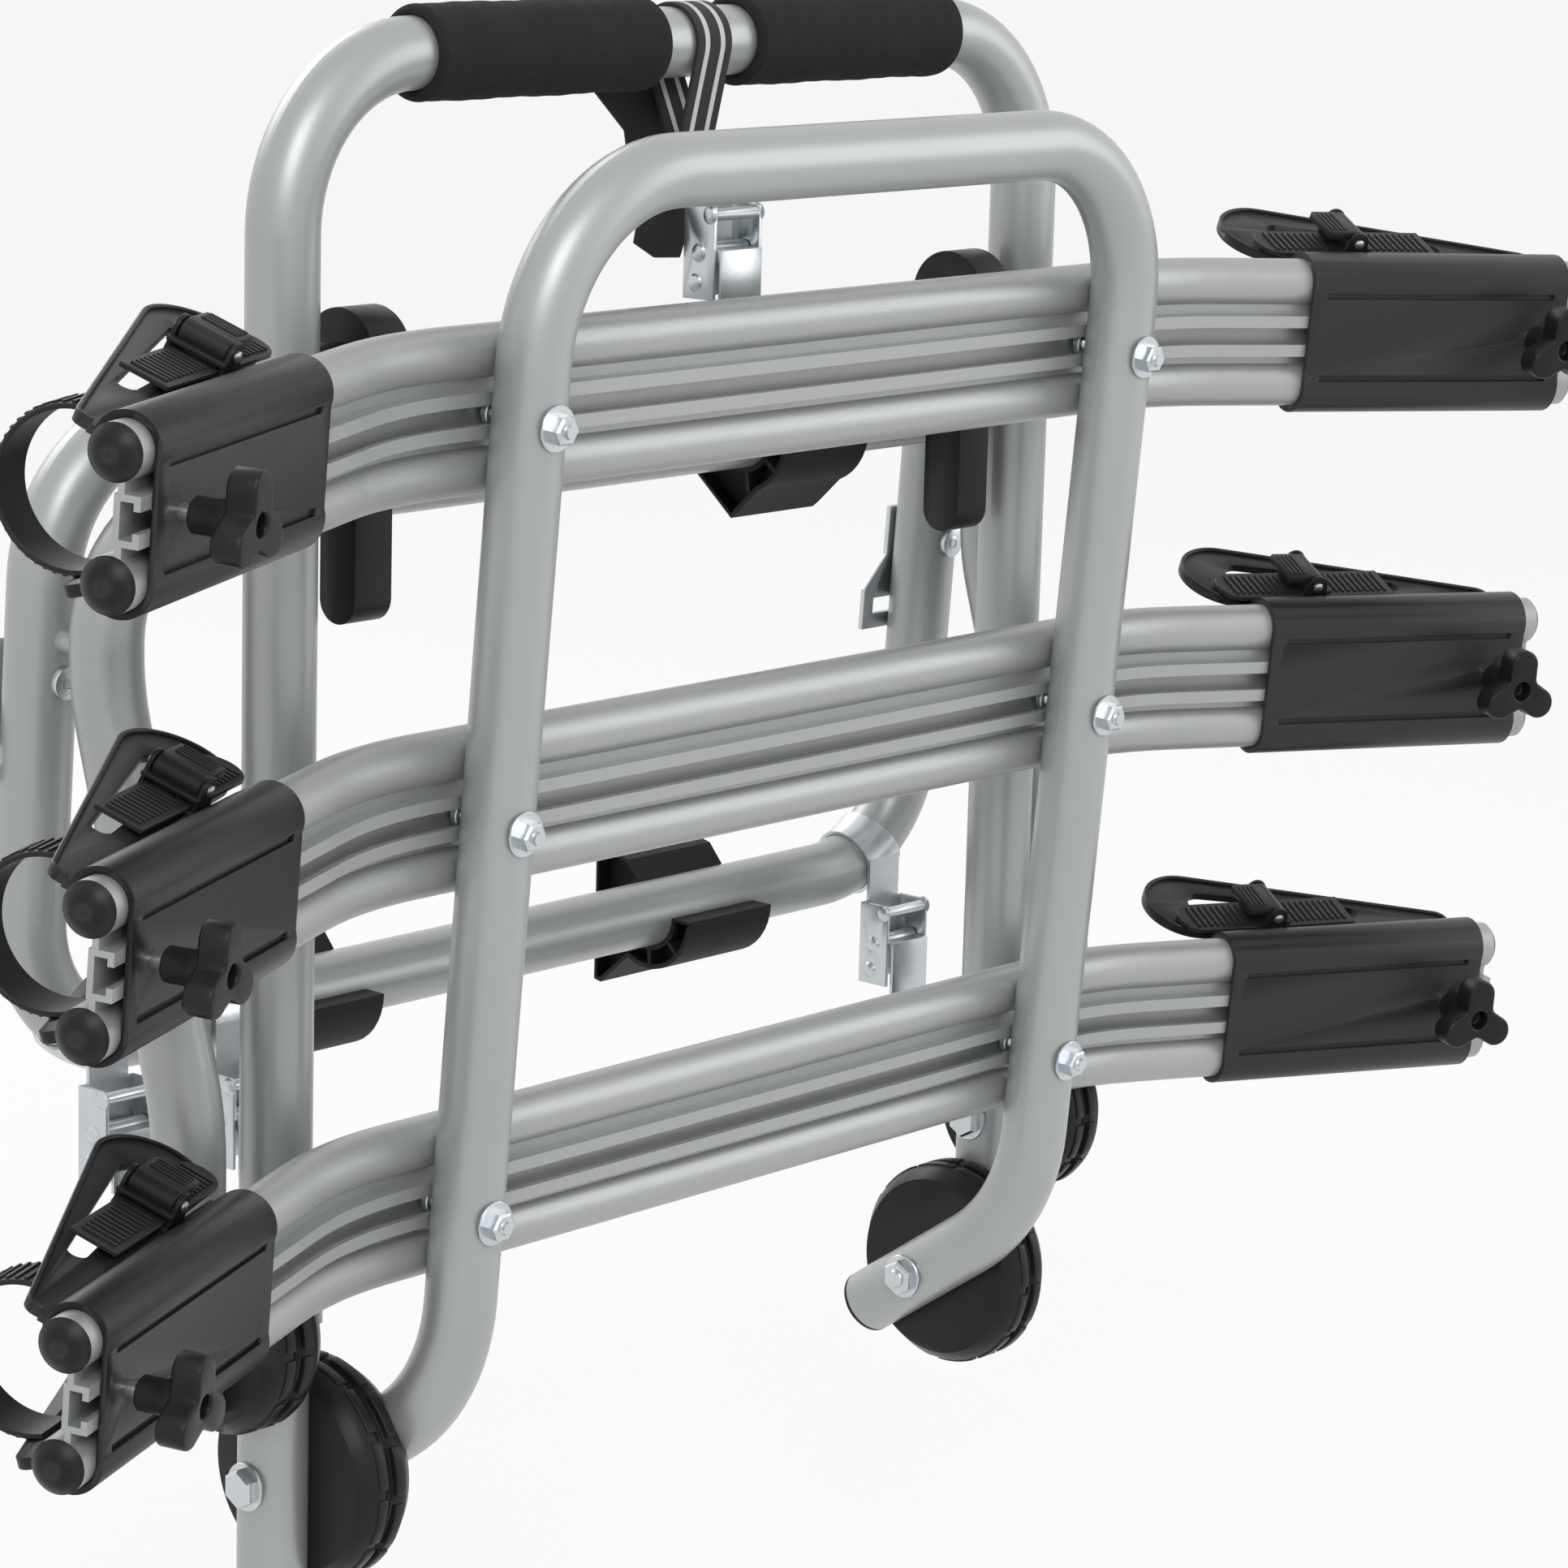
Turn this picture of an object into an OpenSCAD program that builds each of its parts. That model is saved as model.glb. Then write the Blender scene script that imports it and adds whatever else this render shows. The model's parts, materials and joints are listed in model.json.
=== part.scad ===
// Trunk mounted bike rack, folded for storage.
// X runs along the wheel rails, +Y points to the car, +Z runs up the main legs.
// The origin lies midway between the two main legs, on the platform's hinge axis.

/* [Tubes] */
// Outer diameter of the frame tubes
tube_d = 35; // [30:0.5:40]
// Wall of the frame tubes
tube_wall = 2; // [1.5:0.1:3]
// Depth of the end caps inside the tubes
cap_plug = 14; // [8:1:25]
// Thickness of the end caps outside the tubes
cap_lip = 4; // [2:0.5:8]

/* [Main frame] */
// Half distance between the main legs
main_half = 270.5; // [260:0.5:280]
// Height of the top bar above the platform hinge
main_top = 680; // [670:1:720]
// Length of the main legs below the platform hinge
main_foot = 45; // [40:1:60]
// Bend radius of the main frame's corners
main_bend = 80; // [60:1:100]
// Outer diameter of the foam grips
grip_d = 46; // [43:0.5:52]
// Half length of the bare gap between the grips
grip_gap = 32; // [20:1:45]
// Length of each foam grip
grip_len = 158; // [120:1:158]

// Width of the blocks beside the main legs
block_w = 24; // [20:1:28]
// Depth of the blocks beside the main legs
block_d = 24; // [20:1:28]
// Diameter of the blocks' round heads
block_head = 48; // [40:1:52]
// Height of the blocks' lower ends
block_low = 414; // [405:1:425]
// Height of the middle of the blocks' heads
block_top = 540; // [530:1:550]
// Gap between a block and its leg
block_gap = 19; // [14:1:22]

/* [Platform] */
// Distance from the main legs to the platform legs
plat_inset = 52; // [48:0.5:58]
// Lean of the folded platform away from the main frame, in degrees
plat_lean = 4.7; // [3:0.1:6]
// Distance from the hinge axis to the plane of the platform legs
plat_offset = 65.5; // [63:0.5:72]
// Height of the lowest rail bolt
rail_first = 145.5; // [140:0.5:155]
// Distance from rail to rail
rail_pitch = 191.5; // [175:0.5:200]
// Height of the top bar above the highest rail bolt
plat_rise = 111; // [106:1:125]
// Bend radius of the platform's top corners
plat_bend = 85; // [50:1:95]
// Bend radius of the platform's lower bends
tail_bend = 100; // [80:1:110]
// Fall of the tails towards the hinge, in degrees
tail_fall = 39.7; // [36:0.1:44]
// Length of the tails past the hinge axis
tail_past = 46; // [40:1:60]

/* [Rails] */
// Outer diameter of the rail's round edges
rail_d = 25; // [22:0.5:26]
// Wall of the rail's round edges
rail_wall = 2.2; // [1.5:0.1:3]
// Distance between the centres of the two round edges
rail_span = 55; // [53:0.5:60]
// Half length of the rail along X
rail_half = 530; // [520:1:545]
// Distance from the leg to the start of the rail's bend
rail_lead = 25; // [20:1:30]
// Radius of the rail's bend
rail_bend = 200; // [150:5:210]
// Angle of the rail's bend, in degrees
rail_angle = 22; // [15:0.5:24]
// Width of the slot's mouth along the rail
slot_mouth = 9.2; // [8.6:0.1:10]
// Width of the slot behind its mouth
slot_w = 16; // [15:0.5:17]
// Depth of the slot behind its mouth
slot_deep = 6; // [5:0.5:6.5]
// Wall round the slot
slot_wall = 3; // [2:0.1:3]

/* [Wheel holders] */
// Length of the holder's shell
shell_len = 165; // [150:1:175]
// Distance from the shell to the end of the rail
shell_inset = 10; // [6:1:14]
// Wall of the shell
shell_wall = 3.2; // [2.5:0.1:4]
// Running gap between shell and rail
shell_gap = 0.4; // [0.3:0.05:0.5]
// Tilt of the ears away from the rail, in degrees
ear_tilt = 18.7; // [12:0.1:25]
// Thickness of the ears
ear_t = 4; // [3:0.5:5]
// Radius of an ear's wide end
ear_wide = 27; // [22:0.5:30]
// Radius of an ear's slim end
ear_slim = 8; // [6:0.5:10]
// Distance of an ear's wide end past the shell's inner end
ear_over = 22; // [15:1:30]
// Distance from the shell to the middle of an ear's wide end
ear_deep = 36; // [30:1:42]
// Radius of the wide end of an ear's slot
ear_slot = 10; // [7:0.5:12]
// Distance of the knob from the shell's outer end
knob_inset = 22; // [20:1:30]
// Diameter of the knob's stud
stud_d = 8; // [7.4:0.1:8.4]
// Distance of the knob from the shell's face
knob_off = 22; // [16:1:28]
// Thickness of the knob
knob_t = 14; // [10:1:18]
// Reach of the knob's lobes from its centre
knob_reach = 23; // [20:0.5:26]
// Width of the wheel strap
strap_w = 25; // [20:0.5:26]
// Thickness of the wheel strap
strap_t = 2.5; // [2:0.1:3]
// Distance of the strap's loop from the shell's outer end
strap_at = 40; // [30:1:60]
// Distance of the strap's loop behind the rail
strap_back = 38; // [34:1:44]
// Distance of the buckle's pin from the shell's outer end
buckle_at = 123; // [110:1:130]
// Length of the strap's tail past the buckle's pin
tail_len = 55; // [40:1:60]

/* [Hinges] */
// Diameter of the hinge discs
disc_d = 110; // [100:1:116]
// Diameter of the support's hinge discs
sup_disc_d = 94; // [88:1:95]
// Depth that a disc wraps round its tube
disc_wrap = 9; // [5:0.5:12]
// Gap between the two halves of a hinge
disc_gap = 0.3; // [0.2:0.1:0.5]
// Diameter of the hinge bolts
bolt_d = 10; // [8:0.5:11]
// Width across flats of the bolts' heads and nuts
bolt_af = 17; // [15:0.5:18]
// Thickness of the bolts' heads and nuts
bolt_head = 7; // [5:0.5:9]
// Height of the support's hinge above the platform's hinge
sup_hinge = 80; // [78:1:95]

/* [Support and bumper frame] */
// Distance from the main legs to the support's legs
sup_offset = 55.5; // [53:0.5:58]
// Height of the support's top bar
sup_top = 468; // [464:1:478]
// Distance of the support's top bar behind the main frame
sup_back = 58; // [54:1:60]
// Bend radius of the support's corners
sup_bend = 60; // [50:1:62]
// Height at which the support's legs start to lean back
sup_knee = 190; // [180:1:200]
// Height at which the support's legs stand straight again
sup_elbow = 385; // [378:1:392]
// Bend radius at the knee
knee_bend = 150; // [120:5:170]
// Bend radius at the elbow
elbow_bend = 120; // [90:5:130]
// Height of the bumper loop's lower tube
bump_low = 198; // [190:1:210]
// Height of the bumper loop's upper tube
bump_high = 502; // [500:1:520]
// Distance of the bumper loop's lower tube behind the main frame
bump_back = 118; // [114:1:126]
// Distance of the bumper loop's upper tube behind the main frame
bump_fore = 98; // [96:1:104]
// Bend radius of the bumper loop
bump_bend = 70; // [55:1:85]
// Height of the anchor plates' bolts
anchor_z = 386; // [380:1:392]
// Width of an anchor plate
anchor_w = 56; // [48:1:64]
// Height of an anchor plate
anchor_h = 70; // [64:1:76]
// Thickness of an anchor plate
anchor_t = 3; // [2:0.5:4]
// Height of the stubs between the support and the bumper loop
stub_z = 405; // [403:1:407]
// Distance of the pads from the middle
pad_x = 148; // [130:1:160]
// Length of a pad along the tube
pad_len = 66; // [50:1:80]
// Height of the lower pads' flat feet
pad_h = 98; // [80:1:110]

/* [Webbing and cam buckles] */
// Width of the webbing
web_w = 25; // [22:0.5:28]
// Thickness of the webbing
web_t = 2; // [1.5:0.1:2.5]
// Length of the cam buckles
cam_len = 46; // [40:1:56]
// Depth of the cam buckles
cam_deep = 20; // [16:1:24]
// Thickness of the buckles' steel
cam_t = 2; // [1.5:0.1:2.5]
// Diameter of the cam levers' pins
cam_pin = 6; // [5:0.1:7]
// Length of the top strap below the bar
top_drop = 78; // [60:1:90]

/* [Hidden] */
$fn = 48;
eps = 0.01;
play = 0.05;
weld_gap = 0.01;
weld_len = 1;
tuck = 0.03;
sup_foot = 32;
side_drop = 24;
seat = 0.3;
tube_r = tube_d / 2;
rail_r = rail_d / 2;
sides = [-1, 1];
side_names = ["left", "right"];
level_names = ["bottom", "middle", "top"];
levels = [0, 1, 2];
sup_half = main_half + sup_offset;
side_in = sup_half - 119;
side_out = sup_half - 36;
bend_reach = side_out - sup_half + bump_bend;
side_top = bump_low + bump_bend - sqrt(pow(bump_bend, 2) - pow(bend_reach, 2));
plat_half = main_half - plat_inset;
rail_y = -plat_offset + tube_r + rail_r;
plat_top = rail_first + 2 * rail_pitch + plat_rise;
tail_z = plat_offset * tan(tail_fall);
bend_x = plat_half + rail_lead + rail_bend * sin(rail_angle);
bend_y = rail_bend * (1 - cos(rail_angle));
end_len = (rail_half - bend_x) / cos(rail_angle);
lobe_r = rail_r + shell_gap + shell_wall;
panel_y = 0.8 - lobe_r;
panel_t = -rail_r - 0.3 - panel_y;
slot_back = -rail_r + slot_wall + slot_deep;
ear_y = rail_r + 1.5;
ear_z = rail_span / 2 + 2.5;
ear_x = shell_len + ear_over - ear_wide;
slit_h = 3.4;
slit_z = rail_span / 2 - 5;
slit_end = 9;
strap_r = (strap_back - ear_y) * sin(ear_tilt) + ear_z * cos(ear_tilt) + 0.02;
pin_d = 5;
lever_r = 6;
base_t = 3;
plate_len = 20;
cheek_len = 12;
pin_up = base_t + strap_t + 2 * seat + lever_r;
tab_len = 18;
tab_t = 5;
cheek_t = 2.2;
buckle_y = strap_w / 2 + cheek_t + 2.5;
washer_d = 22;
washer_t = 1.6;
nut_af = 13;
nut_t = 6.5;
rail_bolt_d = 8;
cam_w = web_w + 10;
anchor_bolt_d = 8;
plate_gap = tube_r + seat;
leg_lean = atan((bump_back - bump_fore) / (bump_high - bump_low));
top_z = main_top - top_drop;

function unit(v) = v / norm(v);
function turn(a, b) = acos(max(-1, min(1, a * b)));
function trim_at(p, r, i) = (i == 0 || i == len(p) - 1) ? 0
    : r[i] * tan(turn(unit(p[i] - p[i - 1]), unit(p[i + 1] - p[i])) / 2);
function rail_z(i) = rail_first + i * rail_pitch;
function bump_y(z) = bump_back + (bump_fore - bump_back) * (z - bump_low) / (bump_high - bump_low);

// Turns the Z axis to the direction d
module aim(d) {
    rotate([0, acos(d[2] / norm(d)), atan2(d[1], d[0])]) children();
}

// A straight tube along Z between two radii
module sleeve(h, outer, inner) {
    difference() {
        cylinder(h = h, r = outer);
        translate([0, 0, -1]) cylinder(h = h + 2, r = inner);
    }
}

// A weld inside the tube's wall, across the joint at q
module weld(q, d) {
    translate(q - d * weld_len / 2) aim(d)
        sleeve(weld_len, tube_r - tube_wall / 4, tube_r - tube_wall * 3 / 4);
}

// A bent frame tube along the points p, with the bend radii b
module pipe(p, b) {
    for (i = [0 : len(p) - 2]) {
        d = unit(p[i + 1] - p[i]);
        from = p[i] + d * (trim_at(p, b, i) + weld_gap);
        to = p[i + 1] - d * (trim_at(p, b, i + 1) + weld_gap);
        translate(from) aim(d) sleeve(norm(to - from), tube_r, tube_r - tube_wall);
        if (i > 0) weld(p[i] + d * trim_at(p, b, i), d);
        if (i < len(p) - 2) weld(p[i + 1] - d * trim_at(p, b, i + 1), d);
    }
    for (i = [1 : 1 : len(p) - 2]) bend_at(p[i - 1], p[i], p[i + 1], b[i]);
}

// A bend at the corner q, round the bore; a part of the bend is given by start and sweep
module bend_at(o, q, n, b, bore = tube_r - tube_wall, outer = tube_r, start = 0, sweep = 0) {
    a = unit(q - o);
    c = unit(n - q);
    angle = turn(a, c);
    m = q + unit(c - a) * b / cos(angle / 2);
    e = unit(q - a * b * tan(angle / 2) - m);
    k = cross(e, a);
    multmatrix([[e[0], a[0], k[0], m[0]], [e[1], a[1], k[1], m[1]], [e[2], a[2], k[2], m[2]]])
        rotate([0, 0, start]) rotate_extrude(angle = sweep > 0 ? sweep : angle)
            translate([b, 0]) difference() {
                circle(outer);
                if (bore > 0) circle(bore);
            }
}

// A cylinder along X, centred on its length
module rod_x(d, l) {
    rotate([0, 90, 0]) cylinder(h = l, d = d, center = true);
}

module in_platform() {
    rotate([plat_lean, 0, 0]) children();
}

// Places a child at the straight end of a rail: X along the rail, Y to its wheel side
module at_rail_end(level, side) {
    in_platform() translate([side * bend_x, rail_y - bend_y, rail_z(level)])
        rotate([0, 0, -side * rail_angle]) children();
}

// The holder's frame: X runs inward from the shell's outer end
module at_holder(level, side) {
    at_rail_end(level, side) translate([side * (end_len - shell_inset), 0, 0])
        mirror([side > 0 ? 1 : 0, 0, 0]) children();
}

// The upper ear's frame: X as in the holder, Y along the ear away from the rail
module at_ear() {
    translate([0, ear_y, ear_z]) rotate([ear_tilt, 0, 0]) children();
}

// An end cap whose lip stands on the tube's end, opening along Z
module tube_cap() {
    translate([0, 0, -cap_plug]) cylinder(h = cap_plug + eps, r = tube_r - tube_wall);
    rotate_extrude() polygon([[0, 0], [tube_r, 0], [tube_r, cap_lip / 2],
        [tube_r - cap_lip / 2, cap_lip], [0, cap_lip]]);
}

// Main frame
main_path = [[-main_half, 0, -main_foot], [-main_half, 0, main_top], [main_half, 0, main_top],
    [main_half, 0, -main_foot]];

module main_frame() {
    color("silver") difference() {
        pipe(main_path, [0, main_bend, main_bend, 0]);
        for (s = sides, z = [0, sup_hinge])
            translate([s * main_half, 0, z]) rod_x(bolt_d + 2 * play, 2 * tube_d);
    }
}

module foam_grips() {
    color("dimgray") for (s = sides) translate([s * (grip_gap + grip_len / 2), 0, main_top]) difference() {
        rotate([0, 90, 0]) rotate_extrude() polygon([[0, -grip_len / 2], [grip_d / 2 - 4, -grip_len / 2],
            [grip_d / 2, 4 - grip_len / 2], [grip_d / 2, grip_len / 2 - 4], [grip_d / 2 - 4, grip_len / 2],
            [0, grip_len / 2]]);
        rod_x(tube_d, grip_len + 2);
    }
}

module main_caps() {
    color("black") for (s = sides) translate([s * main_half, 0, -main_foot]) mirror([0, 0, 1]) tube_cap();
}

// Blocks beside the main legs, each held to its leg by a stub
module leg_blocks() {
    x = main_half - tube_r - block_gap - block_w;
    stub_d = block_head / 3;
    color("black") for (s = sides) difference() {
        mirror([s < 0 ? 1 : 0, 0, 0]) {
            translate([x, 0, 0]) rotate([90, 0, 90]) linear_extrude(block_w) {
                translate([0, block_low + block_d / 2]) circle(d = block_d);
                translate([-block_d / 2 + tuck, block_low + block_d / 2])
                    square([block_d - 2 * tuck, block_top - block_low - block_d / 2]);
                translate([0, block_top]) circle(d = block_head);
            }
            translate([x + block_w / 2, 0, block_top]) rotate([0, 90, 0])
                cylinder(h = block_w / 2 + block_gap + tube_r / 2, d = stub_d);
        }
        translate([s * main_half, 0, 0]) cylinder(h = main_top, r = tube_r);
    }
}

// One half of a hinge: a disc from the parting plane x0 to the tube at x1, cut to fit the tube
module hinge_half(x0, x1, z, dir, d) {
    s = sign(x1 - x0);
    t = abs(x1 - x0) - tube_r + disc_wrap;
    r = d / 2;
    difference() {
        translate([x0, 0, z]) rotate([0, s * 90, 0]) difference() {
            rotate_extrude() polygon([[0, 0], [r - 3, 0], [r - 3, 2], [r, 4], [r, t - 8],
                [r - 6, t], [0, t]]);
            translate([0, 0, -1]) cylinder(h = t + 2, d = bolt_d + 2 * play);
        }
        translate([x1, 0, z]) aim(dir) cylinder(h = 3 * disc_d, r = tube_r, center = true);
    }
}

module platform_hinge_fixed() {
    mid = (main_half + plat_half) / 2 + disc_gap / 2;
    color("black") for (s = sides) hinge_half(s * mid, s * main_half, 0, [0, 0, 1], disc_d);
}

module platform_hinge_moving() {
    mid = (main_half + plat_half) / 2 - disc_gap / 2;
    color("black") in_platform() for (s = sides) difference() {
        hinge_half(s * mid, s * plat_half, 0, [0, cos(tail_fall), -sin(tail_fall)], disc_d);
        k = s < 0 ? 1 : 4;
        bend_at(plat_path[k - 1], plat_path[k], plat_path[k + 1], tail_bend, 0, tube_r + seat);
    }
}

module support_hinge_fixed() {
    mid = main_half + sup_offset / 2 - disc_gap / 2;
    color("black") for (s = sides) hinge_half(s * mid, s * main_half, sup_hinge, [0, 0, 1], sup_disc_d);
}

module support_hinge_moving() {
    mid = main_half + sup_offset / 2 + disc_gap / 2;
    color("black") for (s = sides) hinge_half(s * mid, s * sup_half, sup_hinge, [0, 0, 1], sup_disc_d);
}

// A bolt along X from xa, where its head is, to xb, where its nut is
module hinge_bolt(xa, xb, z) {
    s = sign(xb - xa);
    hex_r = bolt_af / 2 / cos(30);
    translate([xa, 0, z]) rotate([0, s * 90, 0]) {
        translate([0, 0, -bolt_head]) cylinder(h = bolt_head, r = hex_r, $fn = 6);
        cylinder(h = abs(xb - xa) + bolt_head + 2, d = bolt_d);
        translate([0, 0, abs(xb - xa)]) cylinder(h = bolt_head, r = hex_r, $fn = 6);
    }
}

module hinge_bolts() {
    color("lightgray") for (s = sides) {
        hinge_bolt(s * (main_half + tube_r), s * (plat_half - tube_r - seat), 0);
        hinge_bolt(s * (main_half - tube_r), s * (sup_half + tube_r + seat), sup_hinge);
    }
}

// Platform
plat_path = [
    [-plat_half, tail_past * cos(tail_fall), -tail_past * sin(tail_fall)],
    [-plat_half, -plat_offset, tail_z], [-plat_half, -plat_offset, plat_top],
    [plat_half, -plat_offset, plat_top], [plat_half, -plat_offset, tail_z],
    [plat_half, tail_past * cos(tail_fall), -tail_past * sin(tail_fall)]
];

module platform_frame() {
    color("silver") in_platform() difference() {
        pipe(plat_path, [0, tail_bend, plat_bend, plat_bend, tail_bend, 0]);
        for (s = sides) {
            translate([s * plat_half, 0, 0]) rod_x(bolt_d + 2 * play, 2 * tube_d);
            for (i = levels) translate([s * plat_half, -plat_offset, rail_z(i)]) rotate([90, 0, 0])
                cylinder(h = 2 * tube_d, d = rail_bolt_d + 2 * play, center = true);
        }
    }
}

module platform_caps() {
    color("black") in_platform() for (s = sides)
        translate([s * plat_half, tail_past * cos(tail_fall), -tail_past * sin(tail_fall)])
            aim([0, cos(tail_fall), -sin(tail_fall)]) tube_cap();
}

// The rail's section: X is its depth, the wheel side positive, and Y is its height
module rail_section() {
    half = slot_w / 2 + slot_wall;
    difference() {
        union() {
            for (s = sides) translate([0, s * rail_span / 2]) circle(rail_r);
            translate([-rail_r, -half]) square([slot_deep + 2 * slot_wall, 2 * half]);
            translate([slot_back - rail_r / 8, -rail_span / 2]) square([slot_wall, rail_span]);
        }
        for (s = sides) translate([0, s * rail_span / 2]) circle(rail_r - rail_wall);
        translate([-rail_r + slot_wall, -slot_w / 2]) square([slot_deep, slot_w]);
        translate([-rail_r - 1, -slot_mouth / 2]) square([slot_wall + 2, slot_mouth]);
    }
}

// A weld inside the rail's walls, across a joint, along Z
module rail_weld() {
    mid_r = rail_r - rail_wall / 2;
    translate([0, 0, -weld_len / 2]) {
        for (s = sides) translate([0, s * rail_span / 2, 0])
            sleeve(weld_len, mid_r + rail_wall / 4, mid_r - rail_wall / 4);
        for (s = sides) translate([-rail_r + slot_wall / 4, s * (slot_w + slot_wall) / 2 - slot_wall / 4, 0])
            cube([slot_deep, slot_wall / 2, weld_len]);
    }
}

module rail(level) {
    half = plat_half + rail_lead;
    color("gainsboro") in_platform() translate([0, rail_y, rail_z(level)]) {
        translate([weld_gap - half, 0, 0]) rotate([90, 0, 90])
            linear_extrude(2 * (half - weld_gap)) rail_section();
        for (s = sides) mirror([s < 0 ? 1 : 0, 0, 0]) translate([half, 0, 0]) {
            rotate([90, 0, 90]) rail_weld();
            translate([0, -rail_bend, 0]) rotate([0, 0, 90 - rail_angle])
                rotate_extrude(angle = rail_angle) translate([rail_bend, 0]) rail_section();
            translate([rail_bend * sin(rail_angle), -bend_y, 0]) rotate([0, 0, -rail_angle])
                rotate([90, 0, 90]) {
                    rail_weld();
                    translate([0, 0, weld_gap]) linear_extrude(end_len - weld_gap) rail_section();
                }
        }
    }
}

module rail_bolts() {
    hex_r = nut_af / 2 / cos(30);
    front = plat_offset + tube_r;
    head = -rail_y + rail_r - slot_wall - seat;
    color("lightgray") in_platform() for (s = sides, i = levels)
        translate([s * plat_half, 0, rail_z(i)]) rotate([90, 0, 0]) {
            translate([0, 0, head - 4]) cylinder(h = 4, d = 14);
            translate([0, 0, head - 2])
                cylinder(h = front + washer_t + nut_t + 2 - head + 2, d = rail_bolt_d);
            translate([0, 0, front]) cylinder(h = washer_t, d = washer_d);
            translate([0, 0, front + washer_t]) cylinder(h = nut_t, r = hex_r, $fn = 6);
        }
}

module rail_plugs() {
    dome = 6;
    color("black") for (level = levels, side = sides) at_rail_end(level, side)
        for (s = sides) translate([side * end_len, 0, s * rail_span / 2]) rotate([0, side * 90, 0]) {
            translate([0, 0, -10]) cylinder(h = 10 + eps, r = rail_r - rail_wall);
            rotate_extrude() intersection() {
                translate([0, dome - (rail_r * rail_r + dome * dome) / (2 * dome)])
                    circle((rail_r * rail_r + dome * dome) / (2 * dome), $fn = 160);
                square([rail_r, dome]);
            }
        }
}

// Support and bumper frame
sup_path = [
    [-sup_half, 0, sup_hinge - sup_foot], [-sup_half, 0, sup_knee], [-sup_half, sup_back, sup_elbow],
    [-sup_half, sup_back, sup_top], [sup_half, sup_back, sup_top], [sup_half, sup_back, sup_elbow],
    [sup_half, 0, sup_knee], [sup_half, 0, sup_hinge - sup_foot]
];

module support_frame() {
    color("silver") difference() {
        pipe(sup_path, [0, knee_bend, elbow_bend, sup_bend, sup_bend, elbow_bend, knee_bend, 0]);
        for (s = sides) translate([s * sup_half, 0, sup_hinge]) rod_x(bolt_d + 2 * play, 2 * tube_d);
    }
}

bump_path = [
    [0, bump_back, bump_low], [sup_half, bump_back, bump_low], [sup_half, bump_fore, bump_high],
    [-sup_half, bump_fore, bump_high], [-sup_half, bump_back, bump_low], [0, bump_back, bump_low]
];

module bumper_frame() {
    stub_d = tube_r * 0.7;
    color("silver") difference() {
        union() {
            pipe(bump_path, [0, bump_bend, bump_bend, bump_bend, bump_bend, 0]);
            weld(bump_path[0], [1, 0, 0]);
            for (s = sides) translate([s * sup_half, sup_back, stub_z]) rotate([-90, 0, 0])
                cylinder(h = bump_y(stub_z) - sup_back - tube_r + tube_wall, d = stub_d);
        }
        for (s = sides) {
            translate([s * sup_half, sup_back, sup_elbow])
                cylinder(h = sup_top - sup_elbow, r = tube_r + 2 * seat);
            translate([s * sup_half, bump_y(anchor_z), anchor_z]) rotate([90 + leg_lean, 0, 0])
                cylinder(h = 2 * tube_d, d = anchor_bolt_d + 2 * play, center = true);
        }
    }
}

// Section of a pad: a clamp round the tube and a flat foot, in Y and Z
module pad_section(h) {
    wall = 6;
    foot = tube_r + wall + 6;
    difference() {
        union() {
            circle(tube_r + wall);
            translate([0, -tube_r]) square([foot, 2 * tube_r]);
            translate([foot, -h / 2 + 5]) square([10, h - 10]);
            for (s = sides) translate([foot + 5, s * (h / 2 - 5)]) circle(5);
        }
        circle(tube_r);
        translate([-2 * tube_r, -tube_r / 3]) square([2 * tube_r, 2 * tube_r / 3]);
    }
}

// Two lower pads, and one upper pad on the right
module bumper_pads() {
    color("black") {
        for (s = sides) translate([s * pad_x - pad_len / 2, bump_back, bump_low]) rotate([90, 0, 90])
            linear_extrude(pad_len) pad_section(pad_h);
        translate([pad_x - pad_len / 2, sup_back, sup_top]) rotate([-50, 0, 0]) rotate([90, 0, 90])
            linear_extrude(pad_len) pad_section(pad_h / 2);
    }
}

// Plates behind the bumper loop's legs, each on a bolt, with a slot for the webbing's hook
module anchor_plates() {
    y_mid = bump_y(anchor_z);
    wide = anchor_w / 2;
    neck = anchor_w / 5;
    low = anchor_bolt_d / 2 + neck - anchor_h;
    high = anchor_h + low;
    slot_w = anchor_w * 0.7;
    slot_h = anchor_h / 8;
    head_d = 2 * anchor_bolt_d;
    color("lightgray") for (s = sides) translate([s * sup_half, y_mid, anchor_z]) rotate([leg_lean, 0, 0]) {
        translate([0, plate_gap + anchor_t, 0]) rotate([90, 0, 0]) linear_extrude(anchor_t) difference() {
            polygon([[-wide, low], [wide, low], [wide, low + anchor_h / 3], [neck, low + anchor_h * 0.6],
                [neck, high], [-neck, high], [-neck, low + anchor_h * 0.6], [-wide, low + anchor_h / 3]]);
            translate([-slot_w / 2, low + slot_h]) square([slot_w, slot_h]);
        }
        translate([0, plate_gap + anchor_t / 2, 0]) rotate([90, 0, 0])
            cylinder(h = 2 * plate_gap + anchor_t, d = anchor_bolt_d);
        translate([0, -plate_gap, 0]) rotate([90, 0, 0]) cylinder(h = anchor_t, d = head_d);
    }
}

// Cam buckles, with the pin at the origin, the webbing's side at +Y
module cam_frame() {
    difference() {
        union() {
            translate([-cam_w / 2, cam_deep / 2 - cam_t, -cam_len / 2]) cube([cam_w, cam_t, cam_len]);
            for (s = sides) translate([s * (cam_w / 2 - cam_t / 2) - cam_t / 2, -cam_deep / 2, -cam_len / 2])
                cube([cam_t, cam_deep, cam_len]);
            translate([0, -cam_deep / 2 + 3, cam_len / 2 - 4]) rod_x(cam_pin, cam_w - cam_t);
        }
        rod_x(cam_pin + 2 * play, cam_w + 2);
    }
}

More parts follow.
